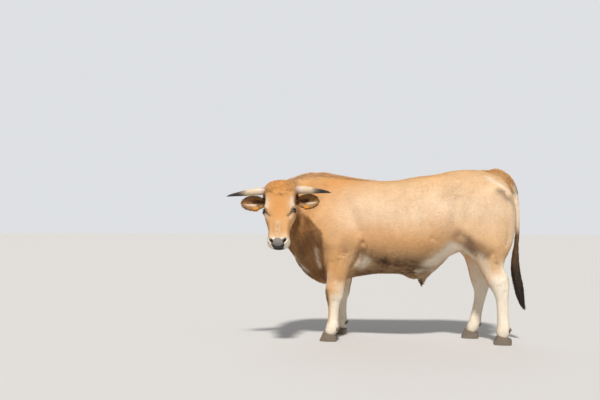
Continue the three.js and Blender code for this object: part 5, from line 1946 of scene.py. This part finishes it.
def dewclaw_grid(leg, claw_side, rows=14, sides=24):
    """A blunt cone that leans back: radius * sin(angle) round its long axis, with a flattened sole."""
    foot = leg.split("_")[0]
    side, pattern = LEGS[leg][:2]
    z, back = DEWCLAW[foot]
    centre = np.array([back - 0.009 + stand_off(leg, z), side * pattern[-1, 3] + claw_side * 0.025, z + 0.006])
    v = np.linspace(0.04, math.pi - 0.04, rows)[:, None]
    u = (np.arange(sides) * 2 * math.pi / sides)[None]
    blunt = np.abs(np.cos(v)) ** 0.85 * np.sign(np.cos(v))
    wide = np.sin(v) * (0.8 + 0.2 * np.cos(v))
    local = np.stack([0.013 * wide * np.cos(u), 0.011 * wide * np.sin(u), 0.0175 * blunt + 0 * u], 2)
    turn = 0.5
    c, s = math.cos(turn), math.sin(turn)
    spin = np.array([[c, 0, s], [0, 1, 0], [-s, 0, c]])
    return centre + local @ spin.T


for leg, name, claw_side in CLAWS:
    grid = dewclaw_grid(leg, claw_side)
    levels = np.linspace(1, 0, len(grid))
    closed_loft(f"dewclaw_horn_{leg}_{name}", grid, hoof_material, f"dewclaw_{leg}_{name}", "level", levels)
print("claws and dewclaws made")

# %% [markdown]
# ## Eyes
#
# The eyeball is a ball with a clear bulge in front. Its iris is so dark brown that it looks black at a few
# metres, the pupil is a wide slit, and a wet coat makes the highlight that gives the eye its life. Numbers
# on the points say where iris and pupil are; the rest is the white of the eye.

# %% Eyeballs
EYE_ROWS, EYE_SIDES = 64, 96


def eye_grid(name, side):
    """A ball's points in rings round the way it looks, with a bulge of 0.8 mm inside the iris."""
    look, outer, lid_up = eye_axes(side)
    v = np.linspace(0.004, math.pi - 0.004, EYE_ROWS)[:, None]
    u = (np.arange(EYE_SIDES) * 2 * math.pi / EYE_SIDES)[None]
    bulge = 0.0008 * fade(0.78, 0.45, v)
    r = EYE_RADIUS - 0.0002 + bulge
    across, up_part, forward = r * np.sin(v) * np.cos(u), r * np.sin(v) * np.sin(u), r * np.cos(v) + 0 * u
    grid = EYE_AT[name] + across[..., None] * outer + up_part[..., None] * lid_up + forward[..., None] * look
    iris = fade(0.015, 0.0138, np.sin(v) * EYE_RADIUS + 0 * u) * (v < math.pi / 2)
    slit = (across / 0.0078) ** 2 + (up_part / 0.0042) ** 2
    pupil = fade(1.15, 0.85, slit) * (v < math.pi / 2)
    return grid, iris, pupil


eye_material, tree, shader = new_material("eye")
place = object_place(tree)
parts = add_node(tree, "ShaderNodeAttribute", {"attribute_name": "eye_parts"}).outputs["Color"]
parts = add_node(tree, "ShaderNodeSeparateColor", None, Color=parts).outputs
rays = noise(tree, place, 420.0, 3.0, 0.6)
veins = noise(tree, place, 160.0, 4.0, 0.7)
white = blend_colours(tree, veins, (0.42, 0.3, 0.24, 1), (0.62, 0.52, 0.44, 1))
iris_colour = blend_colours(tree, rays, (0.008, 0.004, 0.002, 1), (0.034, 0.016, 0.007, 1))
colour = blend_colours(tree, parts[0], white, iris_colour)
colour = blend_colours(tree, parts[1], colour, (0.003, 0.004, 0.006, 1))
set_inputs(tree, shader, {"Base Color": colour, "Roughness": 0.12})
shader.inputs["Coat Weight"].default_value = 1.0
shader.inputs["Coat Roughness"].default_value = 0.03

for name, side in SIDES.items():
    grid, iris, pupil = eye_grid(name, side)
    eye = closed_loft("eyeball_" + name, grid, eye_material, "eye_" + name)
    flat = lambda v, low, high: np.concatenate([v.ravel(), [low, high]])
    parts = np.stack([flat(iris, 1, 0), flat(pupil, 1, 0), np.zeros(iris.size + 2), np.ones(iris.size + 2)], 1)
    store(eye.data, "eye_parts", "FLOAT_COLOR", parts)
print("eyes", grid.shape)

# %% [markdown]
# Lashes stand along the upper lid, longer in its outer half, and a few short ones along the lower lid.

# %% Eyelashes
def lashes(name, side, count):
    look, outer, lid_up = eye_axes(side)
    u = np.linspace(-0.017, 0.018, count) + rng.normal(0, 0.0004, count)
    upper = np.arange(count) % 4 != 3
    bend = np.clip(1 - (u / 0.0205) ** 2, 0, 1)
    v = np.where(upper, 0.0125 * bend**0.8 + 0.0012, -0.0095 * bend**0.9 - 0.001)
    h = np.sqrt(np.maximum(0.0245**2 - u**2 - v**2, 1e-6))
    root = EYE_AT[name] + u[:, None] * outer + v[:, None] * lid_up + h[:, None] * look
    out = unit(look * 0.9 + outer * (u / 0.03)[:, None] + lid_up * np.where(upper, 0.25, -0.45)[:, None])
    length = np.where(upper, 0.011 + 0.004 * fade(-0.01, 0.015, u), 0.006)
    droop = np.where(upper, -0.6, 0.1)
    share = np.linspace(0, 1, 5)[None, :, None]
    path = root[:, None] + out[:, None] * share * length[:, None, None]
    path = path + lid_up * (share**2) * (length * droop)[:, None, None] * 0.6
    return path, np.tile(lid_up, (count, 1))


LASHES, LASH_WIDTH = 64, 0.0011
for name, side in SIDES.items():
    path, up_way = lashes(name, side, LASHES)
    points, faces, patch, each = lock_mesh(path, up_way, np.full(LASHES, LASH_WIDTH))
    looks = np.tile(eye_axes(side)[0], (LASHES, 1))
    uv = (unwrapped(path[:, 0], looks, np.zeros(LASHES, int))[:, None] + patch).reshape(-1, 2)
    marks = np.tile([0.2, 1.0, 0.0, 0.0], (len(points), 1))
    hair_object("lashes_" + name, points, faces, marks, np.full(len(points), 0.3), uv, np.repeat(up_way, each, axis=0))
print("lashes made")

# %% [markdown]
# ## Ear tags
#
# Each ear carries one plain plastic tag, a rounded plate with a raised rim and a stud through the ear. The
# plates are blank.

# %% Tags
tag_material, tree, shader = new_material("ear tag plastic")
place = object_place(tree)
dirt = noise(tree, place, 60.0, 5.0, 0.65)
scuffs = noise(tree, place, 500.0, 2.0, 0.5)
plastic = blend_colours(tree, dirt, (0.8, 0.34, 0.035, 1), (0.62, 0.25, 0.03, 1))
stain = maths(tree, "MULTIPLY", between(tree, dirt, 0.58, 0.8), 0.7)
plastic = blend_colours(tree, stain, plastic, (0.22, 0.12, 0.05, 1))
finish(tree, shader, plastic, scaled(tree, dirt, 0.3, 0.34), bump(tree, 0.2, 0.0004, scuffs))
for name in SIDES:
    tag = frame["nodes"]["ear_tag_" + name].data
    tag.materials.clear()
    tag.materials.append(tag_material)
print("tags ready")

# %% [markdown]
# ## Camera, light and floor
#
# The camera stands off the animal's left side at chest height, a little to the rear of a square view, about six
# metres away. One soft sun shines from almost behind the camera, half way up the sky. A weak, very wide one
# fills in from the far side, and a pale sky lights the rest.

# %% Stage
camera_data = bpy.data.cameras.new("camera")
camera = linked("camera", camera_data)
FRAME_WIDTH, SENSOR = 600, 36  # in pixels, and in millimetres
camera.location = np.array([1.094, -6.204, 0.935]) + SHIFT
camera.rotation_euler = (math.radians(90), 0, math.radians(10))
camera_data.lens = 796 / FRAME_WIDTH * SENSOR
camera_data.shift_y = 18 / FRAME_WIDTH
bpy.context.scene.camera = camera


def soft_sun(name, azimuth, elevation, spread, power, colour):
    """A far light of some width, so that the floor is lit evenly: azimuth from the near side towards the tail."""
    light = bpy.data.lights.new(name, "SUN")
    light.angle, light.energy, light.color = math.radians(spread), power, colour
    linked(name, light).rotation_euler = (math.radians(90 - elevation), 0, math.radians(azimuth))


soft_sun("key", 7, 50, 6, 3.75, (1.0, 0.965, 0.92))
soft_sun("fill", 200, 40, 60, 0.45, (0.94, 0.97, 1.0))
world = bpy.data.worlds.new("studio")
world.use_nodes = True
sky = world.node_tree
seen = add_node(sky, "ShaderNodeLightPath").outputs["Is Camera Ray"]
strength = maths(sky, "ADD", 0.32, maths(sky, "MULTIPLY", seen, 0.45))
set_inputs(sky, sky.nodes["Background"], {"Color": (0.95, 0.97, 1.0, 1), "Strength": strength})
bpy.context.scene.world = world
bpy.context.scene.view_settings.view_transform = "Standard"

floor_mesh = bpy.data.meshes.new("floor")
FLOOR_HALF = 40
floor_corners = [(x * FLOOR_HALF, y * FLOOR_HALF, 0) for x, y in ((-1, -1), (1, -1), (1, 1), (-1, 1))]
floor_mesh.from_pydata(floor_corners, [], [(0, 1, 2, 3)])
floor = linked("floor", floor_mesh)
floor_material, tree, shader = new_material("floor")
shader.inputs["Base Color"].default_value = (0.58, 0.57, 0.555, 1)
shader.inputs["Roughness"].default_value = 0.85
floor_mesh.materials.append(floor_material)
print("stage ready")

# %% [markdown]
# ## Sizes
#
# A box can be turned into plain numbers, and the triangles of every mesh are counted.

# %% Boxes
def plain(box):
    return [[float(v) for v in corner] for corner in box]


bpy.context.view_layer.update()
triangles = sum(len(o.data.polygons) for o in bpy.data.objects if o.type == "MESH")
